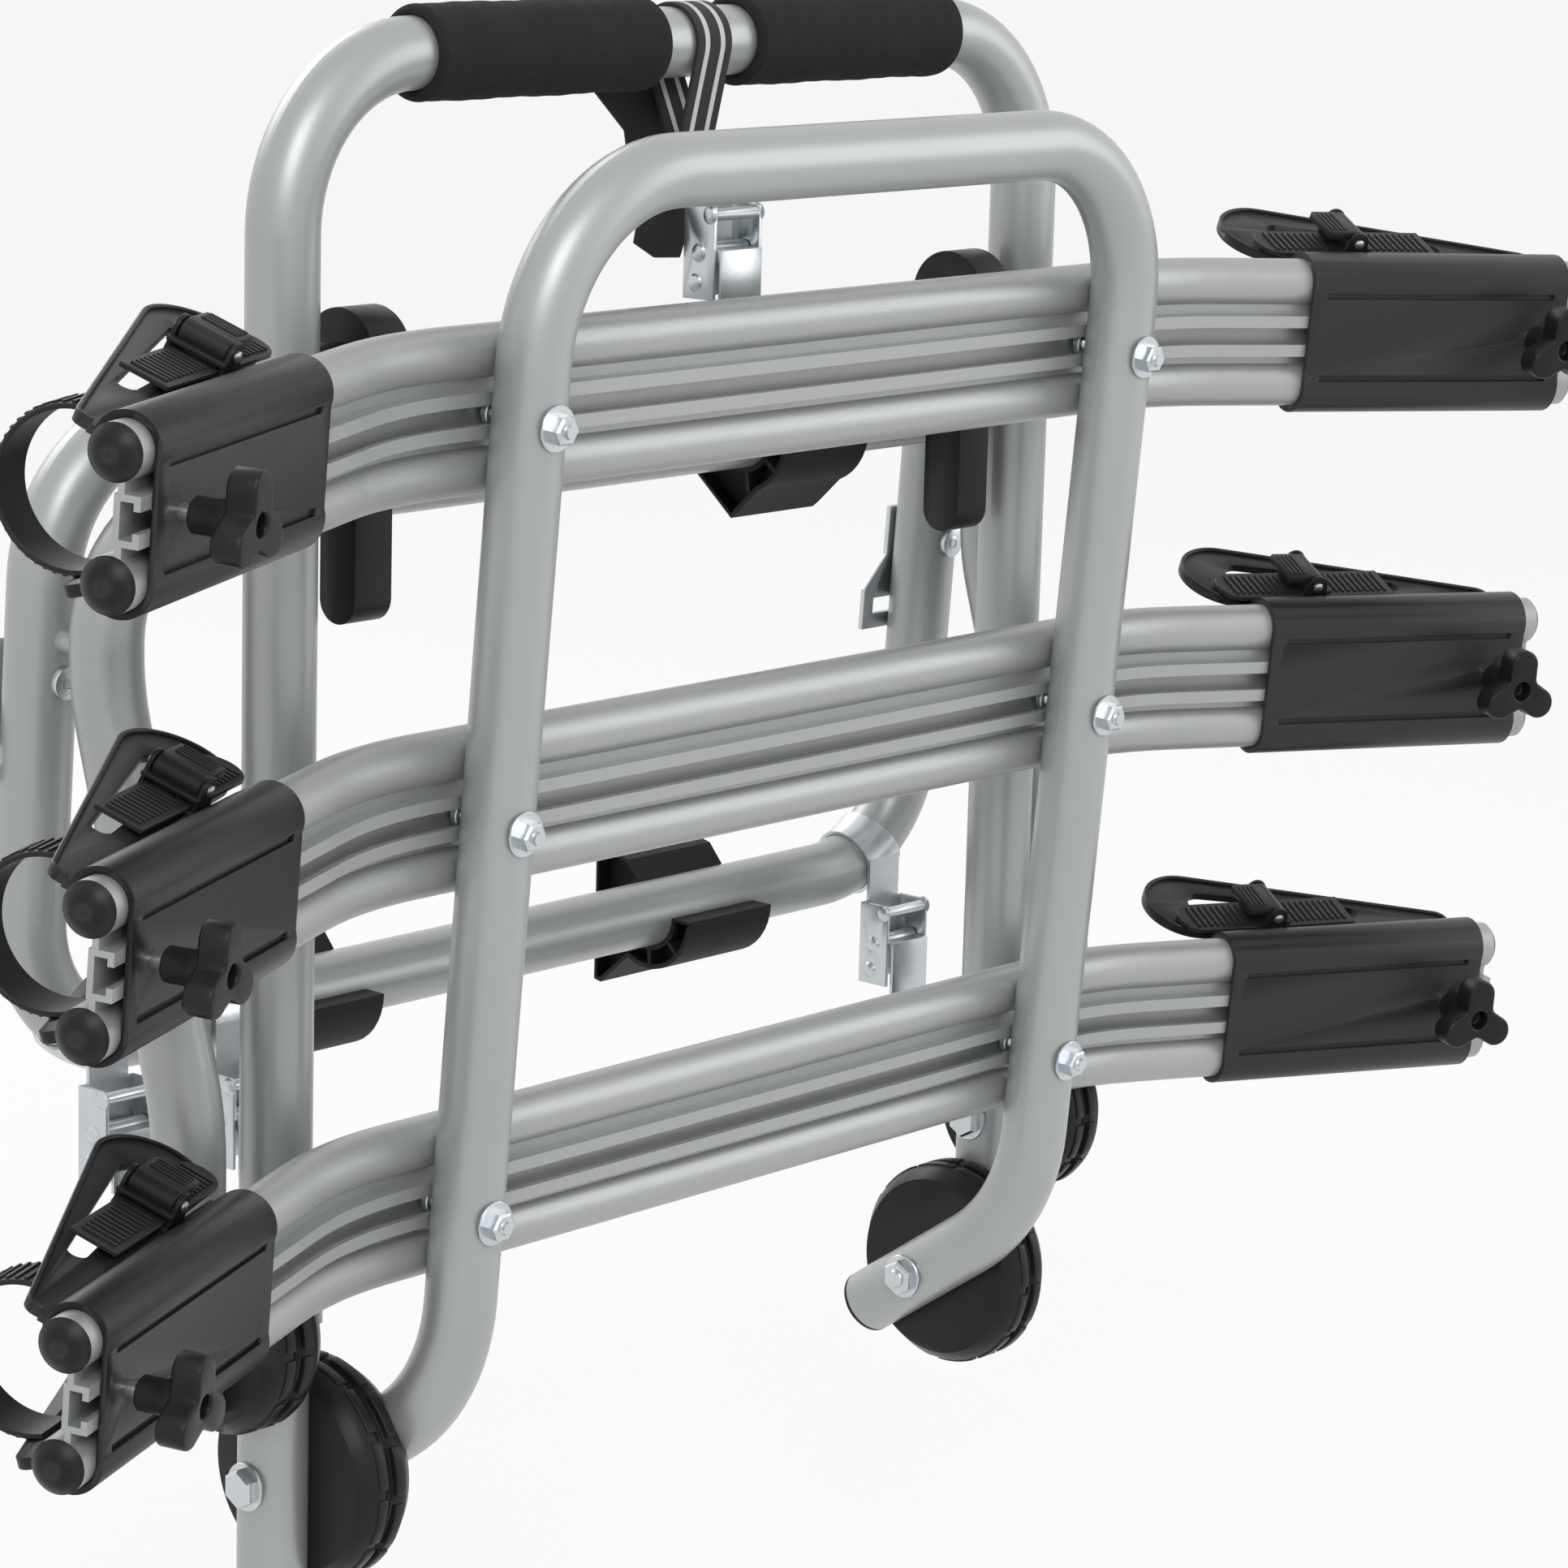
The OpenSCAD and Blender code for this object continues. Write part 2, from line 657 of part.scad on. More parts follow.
module cam_lever() {
    wide = cam_w - 2 * cam_t - 1;
    rod_x(cam_pin, cam_w + 1);
    rod_x(cam_pin + 4, wide);
    translate([-wide / 2, -cam_deep / 2 - 3, -cam_len / 2 - 4]) cube([wide, cam_t, cam_len / 2 + 4]);
    translate([-wide / 2, -cam_deep / 2 - 3, -4]) cube([wide, cam_deep / 2 + 1, 6]);
}

// A webbing loop round a tube along X, with a flat tail of the length l below it
module web_loop(l) {
    r = tube_r + seat;
    translate([-web_w / 2, 0, 0]) rotate([90, 0, 90]) linear_extrude(web_w) {
        difference() {
            circle(r + web_t);
            circle(r);
        }
        translate([-r - web_t, -l]) square([web_t, l]);
    }
}

top_pin_y = -tube_r - seat - cam_deep / 2;

module top_strap() {
    color("black") translate([0, 0, main_top]) web_loop(top_drop);
}

module at_top_buckle() {
    translate([0, top_pin_y, top_z - cam_len / 2]) children();
}

module top_buckle() {
    color("lightgray") at_top_buckle() cam_frame();
}

module top_buckle_lever() {
    color("lightgray") at_top_buckle() cam_lever();
}

// The side hangers: one on the straight tube and two on the bumper loop's lower bends
bend_turn = asin(bend_reach / bump_bend);
side_x = [-side_out, -side_in, side_out];
side_y = [bump_y(side_top), bump_back, bump_y(side_top)];
side_z = [side_top, bump_low, side_top];

module at_side_buckle(i) {
    translate([side_x[i], side_y[i] + top_pin_y, side_z[i] - side_drop - cam_len / 2]) children();
}

module side_hangers() {
    r = tube_r + seat;
    half = asin(web_w / 2 / bump_bend);
    color("lightgray") {
        translate([side_x[1], bump_back, bump_low]) web_loop(side_drop);
        bend_at(bump_path[3], bump_path[4], bump_path[5], bump_bend, r, r + web_t,
            90 - bend_turn - half, 2 * half);
        bend_at(bump_path[0], bump_path[1], bump_path[2], bump_bend, r, r + web_t,
            bend_turn - half, 2 * half);
        for (i = [0, 2])
            translate([side_x[i] - web_w / 2, side_y[i] - r - web_t + tuck, side_z[i] - side_drop])
                cube([web_w, web_t - tuck, side_drop]);
    }
}

module side_buckles() {
    color("lightgray") for (i = [0 : 2]) at_side_buckle(i) cam_frame();
}

module side_lever(i) {
    color("lightgray") at_side_buckle(i) cam_lever();
}

// A flat outline of two circles and their tangents
module taper(a, ra, b, rb) {
    d = b - a;
    lean = acos((ra - rb) / norm(d));
    base = atan2(d[1], d[0]);
    translate(a) circle(ra);
    translate(b) circle(rb);
    polygon([for (e = [[a, ra, lean], [b, rb, lean], [b, rb, -lean], [a, ra, -lean]])
        e[0] + (e[1] - tuck) * [cos(base + e[2]), sin(base + e[2])]]);
}

// Section of a holder's shell, open at the wheel side
module shell_section() {
    top = rail_span / 2;
    difference() {
        union() {
            for (s = sides) translate([0, s * top]) circle(lobe_r);
            translate([panel_y, -top]) square([panel_t, rail_span]);
        }
        for (s = sides) translate([0, s * top]) circle(lobe_r - shell_wall);
        translate([panel_y + panel_t, -top]) square([2 * lobe_r, rail_span]);
    }
}

module ear_outline() {
    taper([ear_x, ear_deep], ear_wide, [ear_slim + 2, ear_slim], ear_slim);
    translate([0, -1]) square([shell_len, ear_slim - 2]);
}

module ear_slot() {
    taper([ear_x - ear_slot, ear_deep], ear_slot, [shell_len * 3 / 8, ear_deep - 2 * ear_slim], ear_slot / 2);
}

module holder(level, side) {
    color("black") at_holder(level, side) difference() {
        union() {
            rotate([90, 0, 90]) linear_extrude(shell_len) shell_section();
            for (s = sides) mirror([0, 0, s < 0 ? 1 : 0]) at_ear() linear_extrude(ear_t) difference() {
                ear_outline();
                ear_slot();
            }
        }
        translate([knob_inset, 0, 0]) rotate([90, 0, 0]) cylinder(h = 40, d = stud_d + 2 * play);
        for (s = sides) translate([slit_end, -2 * lobe_r, s * slit_z - slit_h / 2])
            cube([shell_len - 2 * slit_end, lobe_r * 1.4, slit_h]);
    }
}

module strap(level, side) {
    reach = 90 + ear_tilt;
    color("black") at_holder(level, side) {
        translate([strap_at - strap_w / 2, strap_back, 0]) rotate([90, 0, 90]) rotate([0, 0, -reach])
            rotate_extrude(angle = 2 * reach) translate([strap_r - strap_t, 0]) square([strap_t, strap_w]);
        at_ear() translate([buckle_at - tail_len, buckle_y - strap_w / 2 + seat, ear_t + base_t])
            cube([2 * tail_len, strap_w - 2 * seat, strap_t]);
    }
}

module knob(level, side) {
    lobe = 8;
    color("black") at_holder(level, side) translate([knob_inset, 0, 0]) rotate([90, 0, 0]) {
        translate([0, 0, seat - slot_back]) cylinder(h = slot_deep / 2, d = slot_w - 2);
        translate([0, 0, seat - slot_back]) cylinder(h = lobe_r + knob_off + slot_back + 2, d = stud_d);
        translate([0, 0, lobe_r + 6]) cylinder(h = knob_off - 6 + eps, r = 7);
        translate([0, 0, lobe_r + knob_off]) difference() {
            union() {
                cylinder(h = knob_t, r = 12);
                for (a = [90, 210, 330]) rotate(a) {
                    translate([knob_reach - lobe, 0, 0]) cylinder(h = knob_t, r = lobe);
                    translate([0, -lobe * 0.8, 0]) cube([knob_reach - lobe, lobe * 1.6, knob_t]);
                }
            }
            translate([0, 0, 6]) cylinder(h = knob_t, r = 5);
        }
    }
}

// A cylinder along Y, centred on its length
module rod_y(d, l) {
    rotate([90, 0, 0]) cylinder(h = l, d = d, center = true);
}

// Ratchet buckle of a wheel strap, on the upper ear, with its pin at the origin along Y
module at_buckle(level, side) {
    at_holder(level, side) at_ear() translate([buckle_at, buckle_y, ear_t + pin_up]) children();
}

module buckle(level, side) {
    color("black") at_buckle(level, side) {
        translate([-plate_len / 2, -strap_w / 2 - cheek_t, -pin_up])
            cube([plate_len, strap_w + 2 * cheek_t, base_t]);
        for (s = sides) translate([-cheek_len / 2, s * (strap_w + cheek_t) / 2 - cheek_t / 2, -pin_up])
            cube([cheek_len, cheek_t, pin_up + cheek_len / 3]);
        rod_y(pin_d, strap_w + 2 * cheek_t + 2);
    }
}

module lever(level, side) {
    wide = strap_w - 0.8;
    color("black") at_buckle(level, side) difference() {
        union() {
            rod_y(2 * lever_r, wide);
            translate([0, -wide / 2, lever_r - tab_t]) cube([tab_len, wide, tab_t]);
        }
        rod_y(pin_d + 2 * play, wide + 2);
    }
}

main_frame();
foam_grips();
main_caps();
leg_blocks();
platform_hinge_fixed();
support_hinge_fixed();
hinge_bolts();
top_strap();
top_buckle();
top_buckle_lever();
platform_frame();
platform_caps();
platform_hinge_moving();
rail_bolts();
rail_plugs();
support_frame();
bumper_frame();
support_hinge_moving();
bumper_pads();
anchor_plates();
side_hangers();
side_buckles();
for (i = [0 : 2]) side_lever(i);
for (level = levels) rail(level);
for (level = levels, k = [0, 1]) {
    place = str(level_names[level], "_", side_names[k]);
    holder(level, sides[k]);
    strap(level, sides[k]);
    knob(level, sides[k]);
    buckle(level, sides[k]);
    lever(level, sides[k]);
}
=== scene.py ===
import json
import math

import bmesh
import bpy
from mathutils import Matrix, Vector


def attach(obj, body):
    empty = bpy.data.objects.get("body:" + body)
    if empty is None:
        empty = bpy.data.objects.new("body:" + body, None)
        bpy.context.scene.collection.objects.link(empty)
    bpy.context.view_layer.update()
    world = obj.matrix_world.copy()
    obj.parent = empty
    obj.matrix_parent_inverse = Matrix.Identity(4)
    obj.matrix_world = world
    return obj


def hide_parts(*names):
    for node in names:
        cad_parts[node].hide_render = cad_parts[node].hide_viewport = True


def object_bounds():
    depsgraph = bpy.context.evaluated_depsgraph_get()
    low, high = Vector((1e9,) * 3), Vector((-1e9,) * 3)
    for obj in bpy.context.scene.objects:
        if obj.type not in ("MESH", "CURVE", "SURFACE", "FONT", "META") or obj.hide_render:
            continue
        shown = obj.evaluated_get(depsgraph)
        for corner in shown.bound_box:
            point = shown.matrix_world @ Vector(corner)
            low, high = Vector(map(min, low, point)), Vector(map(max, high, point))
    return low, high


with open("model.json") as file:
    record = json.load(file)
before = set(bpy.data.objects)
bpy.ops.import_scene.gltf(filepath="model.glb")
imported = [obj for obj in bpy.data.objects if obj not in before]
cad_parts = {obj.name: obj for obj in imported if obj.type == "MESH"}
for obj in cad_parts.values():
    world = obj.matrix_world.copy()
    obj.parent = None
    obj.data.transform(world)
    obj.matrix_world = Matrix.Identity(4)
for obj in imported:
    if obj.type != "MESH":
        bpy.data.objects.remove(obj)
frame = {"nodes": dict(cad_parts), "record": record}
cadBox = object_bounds()
nodes = frame["nodes"]
nodeBody = {}
for bodyName, members in frame["record"]["behaviour"]["bodies"].items():
    for member in members:
        nodeBody[member] = bodyName
print("frame loaded:", len(nodes), "nodes")

# sizes shared with the solids, in millimetres and degrees
rack = {
    "tubeR": 17.5, "mainHalf": 270.5, "mainTop": 680.0, "platHalf": 218.5, "platOffset": 65.5, "lean": 4.7,
    "railFirst": 145.5, "railPitch": 191.5, "railY": -35.5, "railR": 12.5, "railEnd": 530.0,
    "railLead": 25.0, "railBend": 200.0, "railAngle": 22.0, "supHalf": 326.0, "supHinge": 80.0,
    "supBack": 58.0, "supTop": 468.0, "bumpBack": 118.0, "bumpLow": 198.0, "bumpRun": 20.0, "bumpRise": 304.0,
    "anchorZ": 386.0, "seat": 0.3,
}
toMetres = Matrix.Scale(0.001, 4)
levelNames = ("bottom", "middle", "top")
sideNames = {-1: "left", 1: "right"}


def shift(x, y, z):
    return Matrix.Translation((x, y, z))


def turned(degrees, axis):
    return Matrix.Rotation(math.radians(degrees), 4, axis)


platformPlace = turned(rack["lean"], "X")

# camera, as the photograph was taken
view = {
    "place": (-1.8769, -1.7176, 0.8401),
    "right": (0.6620, -0.7490, 0.0278),
    "up": (0.1359, 0.1564, 0.9783),
    "focalPx": 6287.0,
    "framePx": 1932.0,
}


def makeCamera():
    cam = bpy.data.cameras.new("viewCamera")
    cam.sensor_fit = "HORIZONTAL"
    cam.lens = view["focalPx"] / view["framePx"] * cam.sensor_width
    cam.clip_end = 60
    obj = bpy.data.objects.new("viewCamera", cam)
    bpy.context.scene.collection.objects.link(obj)
    right = Vector(view["right"]).normalized()
    up = Vector(view["up"])
    up = (up - right * right.dot(up)).normalized()
    facing = Matrix((right, up, right.cross(up))).transposed().to_4x4()
    obj.matrix_world = Matrix.Translation(view["place"]) @ facing
    bpy.context.scene.camera = obj


# studio: a pale floor, below the reach of the platform when it is folded out, and soft lamps
studio = {
    "floorGap": 0.17, "floorSize": 40.0, "floorGrey": 0.9, "floorGlow": 0.86, "worldLight": 0.44,
    "lamps": (
        ("keyLamp", (-2.6, -2.6, 2.9), (0, 0, 0.3), (2.2, 2.2), 78),
        ("fillLamp", (2.8, -2.4, 1.5), (0, 0, 0.3), (2.4, 2.4), 32),
        ("backLamp", (0.4, 3.0, 2.4), (0, 0, 0.35), (2.8, 1.8), 48),
    ),
}


def makeLamp(name, place, aim, size, power):
    lamp = bpy.data.lights.new(name, "AREA")
    lamp.shape = "RECTANGLE"
    lamp.size = size[0]
    lamp.size_y = size[1]
    lamp.energy = power
    obj = bpy.data.objects.new(name, lamp)
    obj.location = place
    obj.rotation_euler = (Vector(aim) - Vector(place)).to_track_quat("-Z", "Y").to_euler()
    bpy.context.scene.collection.objects.link(obj)


def seenDirectly(tree, share):
    path = tree.nodes.new("ShaderNodeLightPath")
    either = tree.nodes.new("ShaderNodeMath")
    either.operation = "ADD"
    either.use_clamp = True
    tree.links.new(path.outputs["Is Camera Ray"], either.inputs[0])
    tree.links.new(path.outputs["Is Glossy Ray"], either.inputs[1])
    part = tree.nodes.new("ShaderNodeMath")
    part.operation = "MULTIPLY"
    part.inputs[1].default_value = share
    tree.links.new(either.outputs[0], part.inputs[0])
    return part.outputs[0]


def makeStudio():
    scene = bpy.context.scene
    scene.view_settings.view_transform = "Standard"
    world = bpy.data.worlds.new("studioWorld")
    scene.world = world
    world.use_nodes = True
    tree = world.node_tree
    soft = tree.nodes["Background"]
    soft.inputs["Color"].default_value = (1, 1, 1, 1)
    soft.inputs["Strength"].default_value = studio["worldLight"]
    white = tree.nodes.new("ShaderNodeBackground")
    white.inputs["Color"].default_value = (1, 1, 1, 1)
    white.inputs["Strength"].default_value = 1.0
    mix = tree.nodes.new("ShaderNodeMixShader")
    tree.links.new(seenDirectly(tree, 1.0), mix.inputs["Fac"])
    tree.links.new(soft.outputs[0], mix.inputs[1])
    tree.links.new(white.outputs[0], mix.inputs[2])
    tree.links.new(mix.outputs[0], tree.nodes["World Output"].inputs["Surface"])
    bm = bmesh.new()
    bmesh.ops.create_grid(bm, x_segments=1, y_segments=1, size=studio["floorSize"])
    bmesh.ops.translate(bm, verts=bm.verts, vec=(0, 0, cadBox[0][2] - studio["floorGap"]))
    mesh = bpy.data.meshes.new("floor")
    bm.to_mesh(mesh)
    bm.free()
    floor = bpy.data.objects.new("floor", mesh)
    scene.collection.objects.link(floor)
    mat = bpy.data.materials.new("paleFloor")
    mat.use_nodes = True
    tree = mat.node_tree
    shader = tree.nodes["Principled BSDF"]
    grey = studio["floorGrey"]
    shader.inputs["Base Color"].default_value = (grey, grey, grey, 1)
    shader.inputs["Roughness"].default_value = 0.9
    glow = tree.nodes.new("ShaderNodeEmission")
    glow.inputs["Strength"].default_value = 1.0
    mix = tree.nodes.new("ShaderNodeMixShader")
    tree.links.new(seenDirectly(tree, studio["floorGlow"]), mix.inputs["Fac"])
    tree.links.new(shader.outputs[0], mix.inputs[1])
    tree.links.new(glow.outputs[0], mix.inputs[2])
    tree.links.new(mix.outputs[0], tree.nodes["Material Output"].inputs["Surface"])
    mesh.materials.append(mat)
    for lamp in studio["lamps"]:
        makeLamp(*lamp)


makeCamera()
makeStudio()
print("camera and studio set")


# finishes: each has two close tones, a grain and a bump, all on Object coordinates
def makeFinish(name, dark, light, metal, rough, grain, bump, stretch=(1, 1, 1), coat=0.0, edgeTone=None,
               shine=0.5):
    mat = bpy.data.materials.new(name)
    mat.use_nodes = True
    tree = mat.node_tree
    shader = tree.nodes["Principled BSDF"]
    shader.inputs["Metallic"].default_value = metal
    shader.inputs["Specular IOR Level"].default_value = shine
    shader.inputs["Coat Weight"].default_value = coat
    shader.inputs["Coat Roughness"].default_value = 0.25
    coords = tree.nodes.new("ShaderNodeTexCoord")
    mapping = tree.nodes.new("ShaderNodeMapping")
    mapping.inputs["Scale"].default_value = stretch
    tree.links.new(coords.outputs["Object"], mapping.inputs["Vector"])
    broad = tree.nodes.new("ShaderNodeTexNoise")
    broad.inputs["Scale"].default_value = grain[0]
    broad.inputs["Detail"].default_value = 6
    fine = tree.nodes.new("ShaderNodeTexNoise")
    fine.inputs["Scale"].default_value = grain[1]
    fine.inputs["Detail"].default_value = 3
    for noise in (broad, fine):
        tree.links.new(mapping.outputs["Vector"], noise.inputs["Vector"])
    tone = tree.nodes.new("ShaderNodeMix")
    tone.data_type = "RGBA"
    tone.inputs["A"].default_value = (*dark, 1)
    tone.inputs["B"].default_value = (*light, 1)
    tree.links.new(broad.outputs["Fac"], tone.inputs["Factor"])
    colour = tone.outputs["Result"]
    # convex edges, picked out by pointiness, are mixed toward the lighter edge tone
    if edgeTone:
        shape = tree.nodes.new("ShaderNodeNewGeometry")
        edge = tree.nodes.new("ShaderNodeMapRange")
        edge.inputs["From Min"].default_value = 0.52
        edge.inputs["From Max"].default_value = 0.62
        edge.inputs["To Max"].default_value = 0.7
        tree.links.new(shape.outputs["Pointiness"], edge.inputs["Value"])
        edgeLighter = tree.nodes.new("ShaderNodeMix")
        edgeLighter.data_type = "RGBA"
        edgeLighter.inputs["B"].default_value = (*edgeTone, 1)
        tree.links.new(edge.outputs["Result"], edgeLighter.inputs["Factor"])
        tree.links.new(colour, edgeLighter.inputs["A"])
        colour = edgeLighter.outputs["Result"]
    tree.links.new(colour, shader.inputs["Base Color"])
    gloss = tree.nodes.new("ShaderNodeMapRange")
    gloss.inputs["To Min"].default_value = rough[0]
    gloss.inputs["To Max"].default_value = rough[1]
    tree.links.new(fine.outputs["Fac"], gloss.inputs["Value"])
    tree.links.new(gloss.outputs["Result"], shader.inputs["Roughness"])
    relief = tree.nodes.new("ShaderNodeBump")
    relief.inputs["Strength"].default_value = bump[0]
    relief.inputs["Distance"].default_value = bump[1]
    tree.links.new(fine.outputs["Fac"], relief.inputs["Height"])
    tree.links.new(relief.outputs["Normal"], shader.inputs["Normal"])
    return mat


# webbing: a ribbed weave with two pale stripes, on the band's own UV map
webLook = {
    "ribsAcross": 26.0, "ribsAlong": 14.0, "stripeAt": 0.22, "stripeWide": 0.13,
    "stripeTone": (0.72, 0.72, 0.70),
    "stitchFrom": 1.10, "stitchTo": 1.35, "stitchTone": (0.42, 0.012, 0.05),
}


def makeWebbing():
    mat = bpy.data.materials.new("webbing")
    mat.use_nodes = True
    tree = mat.node_tree
    shader = tree.nodes["Principled BSDF"]
    shader.inputs["Roughness"].default_value = 0.8
    shader.inputs["Sheen Weight"].default_value = 0.1
    uv = tree.nodes.new("ShaderNodeUVMap")
    uv.uv_map = "band"
    parts = tree.nodes.new("ShaderNodeSeparateXYZ")
    tree.links.new(uv.outputs["UV"], parts.inputs["Vector"])

    def maths(kind, first, second):
        node = tree.nodes.new("ShaderNodeMath")
        node.operation = kind
        for socket, value in zip(node.inputs, (first, second)):
            if isinstance(value, float):
                socket.default_value = value
            else:
                tree.links.new(value, socket)
        return node.outputs[0]

    across = maths("ABSOLUTE", maths("SUBTRACT", parts.outputs["X"], 0.5), 0.0)
    stripe = maths("LESS_THAN", maths("ABSOLUTE", maths("SUBTRACT", across, webLook["stripeAt"]), 0.0),
                   webLook["stripeWide"] / 2)
    ribs = maths("SINE", maths("MULTIPLY", parts.outputs["X"], webLook["ribsAcross"] * 2 * math.pi), 0.0)
    rows = maths("SINE", maths("MULTIPLY", parts.outputs["Y"], webLook["ribsAlong"] * 2 * math.pi), 0.0)
    weave = maths("MULTIPLY", ribs, rows)
    shade = tree.nodes.new("ShaderNodeMapRange")
    shade.inputs["From Min"].default_value = -1
    tree.links.new(weave, shade.inputs["Value"])
    black = tree.nodes.new("ShaderNodeMix")
    black.data_type = "RGBA"
    black.inputs["A"].default_value = (0.006, 0.006, 0.007, 1)
    black.inputs["B"].default_value = (0.016, 0.016, 0.018, 1)
    tree.links.new(shade.outputs["Result"], black.inputs["Factor"])
    tone = tree.nodes.new("ShaderNodeMix")
    tone.data_type = "RGBA"
    tone.inputs["B"].default_value = (*webLook["stripeTone"], 1)
    tree.links.new(black.outputs["Result"], tone.inputs["A"])
    tree.links.new(stripe, tone.inputs["Factor"])
    low = maths("GREATER_THAN", parts.outputs["Y"], webLook["stitchFrom"])
    high = maths("LESS_THAN", parts.outputs["Y"], webLook["stitchTo"])
    stitch = tree.nodes.new("ShaderNodeMix")
    stitch.data_type = "RGBA"
    stitch.inputs["B"].default_value = (*webLook["stitchTone"], 1)
    tree.links.new(tone.outputs["Result"], stitch.inputs["A"])
    tree.links.new(maths("MULTIPLY", low, high), stitch.inputs["Factor"])
    tree.links.new(stitch.outputs["Result"], shader.inputs["Base Color"])
    relief = tree.nodes.new("ShaderNodeBump")
    relief.inputs["Strength"].default_value = 0.5
    relief.inputs["Distance"].default_value = 0.0004
    tree.links.new(weave, relief.inputs["Height"])
    tree.links.new(relief.outputs["Normal"], shader.inputs["Normal"])
    return mat


finishes = {
    "silver_paint": makeFinish("silverPaint", (0.385, 0.405, 0.40), (0.435, 0.455, 0.447), 0.45, (0.34, 0.46),
                               (9, 900), (0.08, 0.0003), coat=0.25),
    "rail_alloy": makeFinish("railAlloy", (0.385, 0.402, 0.40), (0.445, 0.46, 0.452), 0.45, (0.36, 0.48),
                             (6, 300), (0.10, 0.0003), stretch=(0.15, 3, 3)),
    "black_plastic": makeFinish("blackPlastic", (0.007, 0.007, 0.0085), (0.013, 0.013, 0.015), 0.0,
                                (0.30, 0.44), (25, 1400), (0.22, 0.0003),
                                edgeTone=(0.045, 0.045, 0.05), shine=0.21),
    "strap_plastic": makeFinish("strapPlastic", (0.006, 0.006, 0.007), (0.011, 0.011, 0.013), 0.0,
                                (0.34, 0.5), (30, 1100), (0.15, 0.0003),
                                edgeTone=(0.045, 0.045, 0.05), shine=0.24),
    "pad_rubber": makeFinish("padRubber", (0.006, 0.006, 0.007), (0.011, 0.011, 0.012), 0.0, (0.5, 0.68),
                             (30, 700), (0.3, 0.0004), edgeTone=(0.03, 0.03, 0.033), shine=0.17),
    "foam": makeFinish("foam", (0.012, 0.012, 0.014), (0.022, 0.022, 0.025), 0.0, (0.85, 1.0),
                       (45, 950), (0.7, 0.0012), shine=0.3),
    "zinc_steel": makeFinish("zincSteel", (0.50, 0.54, 0.57), (0.68, 0.70, 0.71), 0.95, (0.22, 0.42),
                             (60, 500), (0.12, 0.0003)),
    "webbing": makeWebbing(),
}
print("finishes made:", len(finishes))


# mesh helpers, all in millimetres
def roundEdges(bm, edges, size, segs=2):
    bmesh.ops.bevel(bm, geom=edges, offset=size, offset_type="OFFSET", segments=segs, profile=0.5,
                    affect="EDGES", material=-1, clamp_overlap=True)


def crispEdges(bm, limit=35):
    return [edge for edge in bm.edges if len(edge.link_faces) == 2
            and edge.calc_face_angle(0) > math.radians(limit)]


def block(size, centre=(0, 0, 0), edge=0.0, segs=2):
    bm = bmesh.new()
    bmesh.ops.create_cube(bm, size=1.0)
    bmesh.ops.scale(bm, vec=size, verts=bm.verts)
    bmesh.ops.translate(bm, vec=centre, verts=bm.verts)
    if edge:
        roundEdges(bm, bm.edges[:], edge, segs)
    return bm


def lathe(profile, steps=48):
    bm = bmesh.new()
    verts = [bm.verts.new((r, 0, z)) for r, z in profile]
    edges = [bm.edges.new(pair) for pair in zip(verts, verts[1:])]
    bmesh.ops.spin(bm, geom=verts + edges, cent=(0, 0, 0), axis=(0, 0, 1), dvec=(0, 0, 0),
                   angle=2 * math.pi, steps=steps, use_merge=True, use_duplicate=False)
    bmesh.ops.remove_doubles(bm, verts=bm.verts, dist=0.001)
    bmesh.ops.recalc_face_normals(bm, faces=bm.faces)
    return bm


def rod(radius, low, high, edge=0.4, steps=32):
    return lathe([(0, low), (radius - edge, low), (radius, low + edge), (radius, high - edge),
                  (radius - edge, high), (0, high)], steps)


def prism(outline, depth, edge=0.0, segs=2):
    bm = bmesh.new()
    face = bm.faces.new([bm.verts.new((x, y, 0)) for x, y in outline])
    made = bmesh.ops.extrude_face_region(bm, geom=[face])["geom"]
    bmesh.ops.translate(bm, vec=(0, 0, depth), verts=[v for v in made if isinstance(v, bmesh.types.BMVert)])
    bmesh.ops.recalc_face_normals(bm, faces=bm.faces)
    if edge:
        roundEdges(bm, crispEdges(bm), edge, segs)
    return bm


def sweep(section, places):
    bm = bmesh.new()
    uv = bm.loops.layers.uv.new("band")
    cap = bm.faces.new([bm.verts.new((x, y, 0)) for x, y in section])
    bmesh.ops.transform(bm, matrix=places[0], verts=bm.verts)
    width = max(x for x, y in section) - min(x for x, y in section)
    left = min(x for x, y in section)
    run = 0.0
    runs = {v: (0.0, (s[0] - left) / width) for v, s in zip(cap.verts, section)}
    for step, (before, after) in enumerate(zip(places, places[1:])):
        made = bmesh.ops.extrude_face_region(bm, geom=[cap])["geom"]
        newCap = [g for g in made if isinstance(g, bmesh.types.BMFace)][0]
        if step:
            bmesh.ops.delete(bm, geom=[cap], context="FACES_ONLY")
        bmesh.ops.transform(bm, matrix=after @ before.inverted(), verts=newCap.verts)
        run += (after.translation - before.translation).length
        for v, s in zip(newCap.verts, section):
            runs[v] = (run, (s[0] - left) / width)
        cap = newCap
    for face in bm.faces:
        for loop in face.loops:
            along, across = runs[loop.vert]
            loop[uv].uv = (across, along / width)
    bmesh.ops.recalc_face_normals(bm, faces=bm.faces)
    return bm


def joinIn(target, part, place=None):
    if place is not None:
        bmesh.ops.transform(part, matrix=place, verts=part.verts)
        if place.determinant() < 0:
            bmesh.ops.reverse_faces(part, faces=part.faces)
    spare = bpy.data.meshes.new("spare")
    part.to_mesh(spare)
    part.free()
    target.from_mesh(spare)
    bpy.data.meshes.remove(spare)


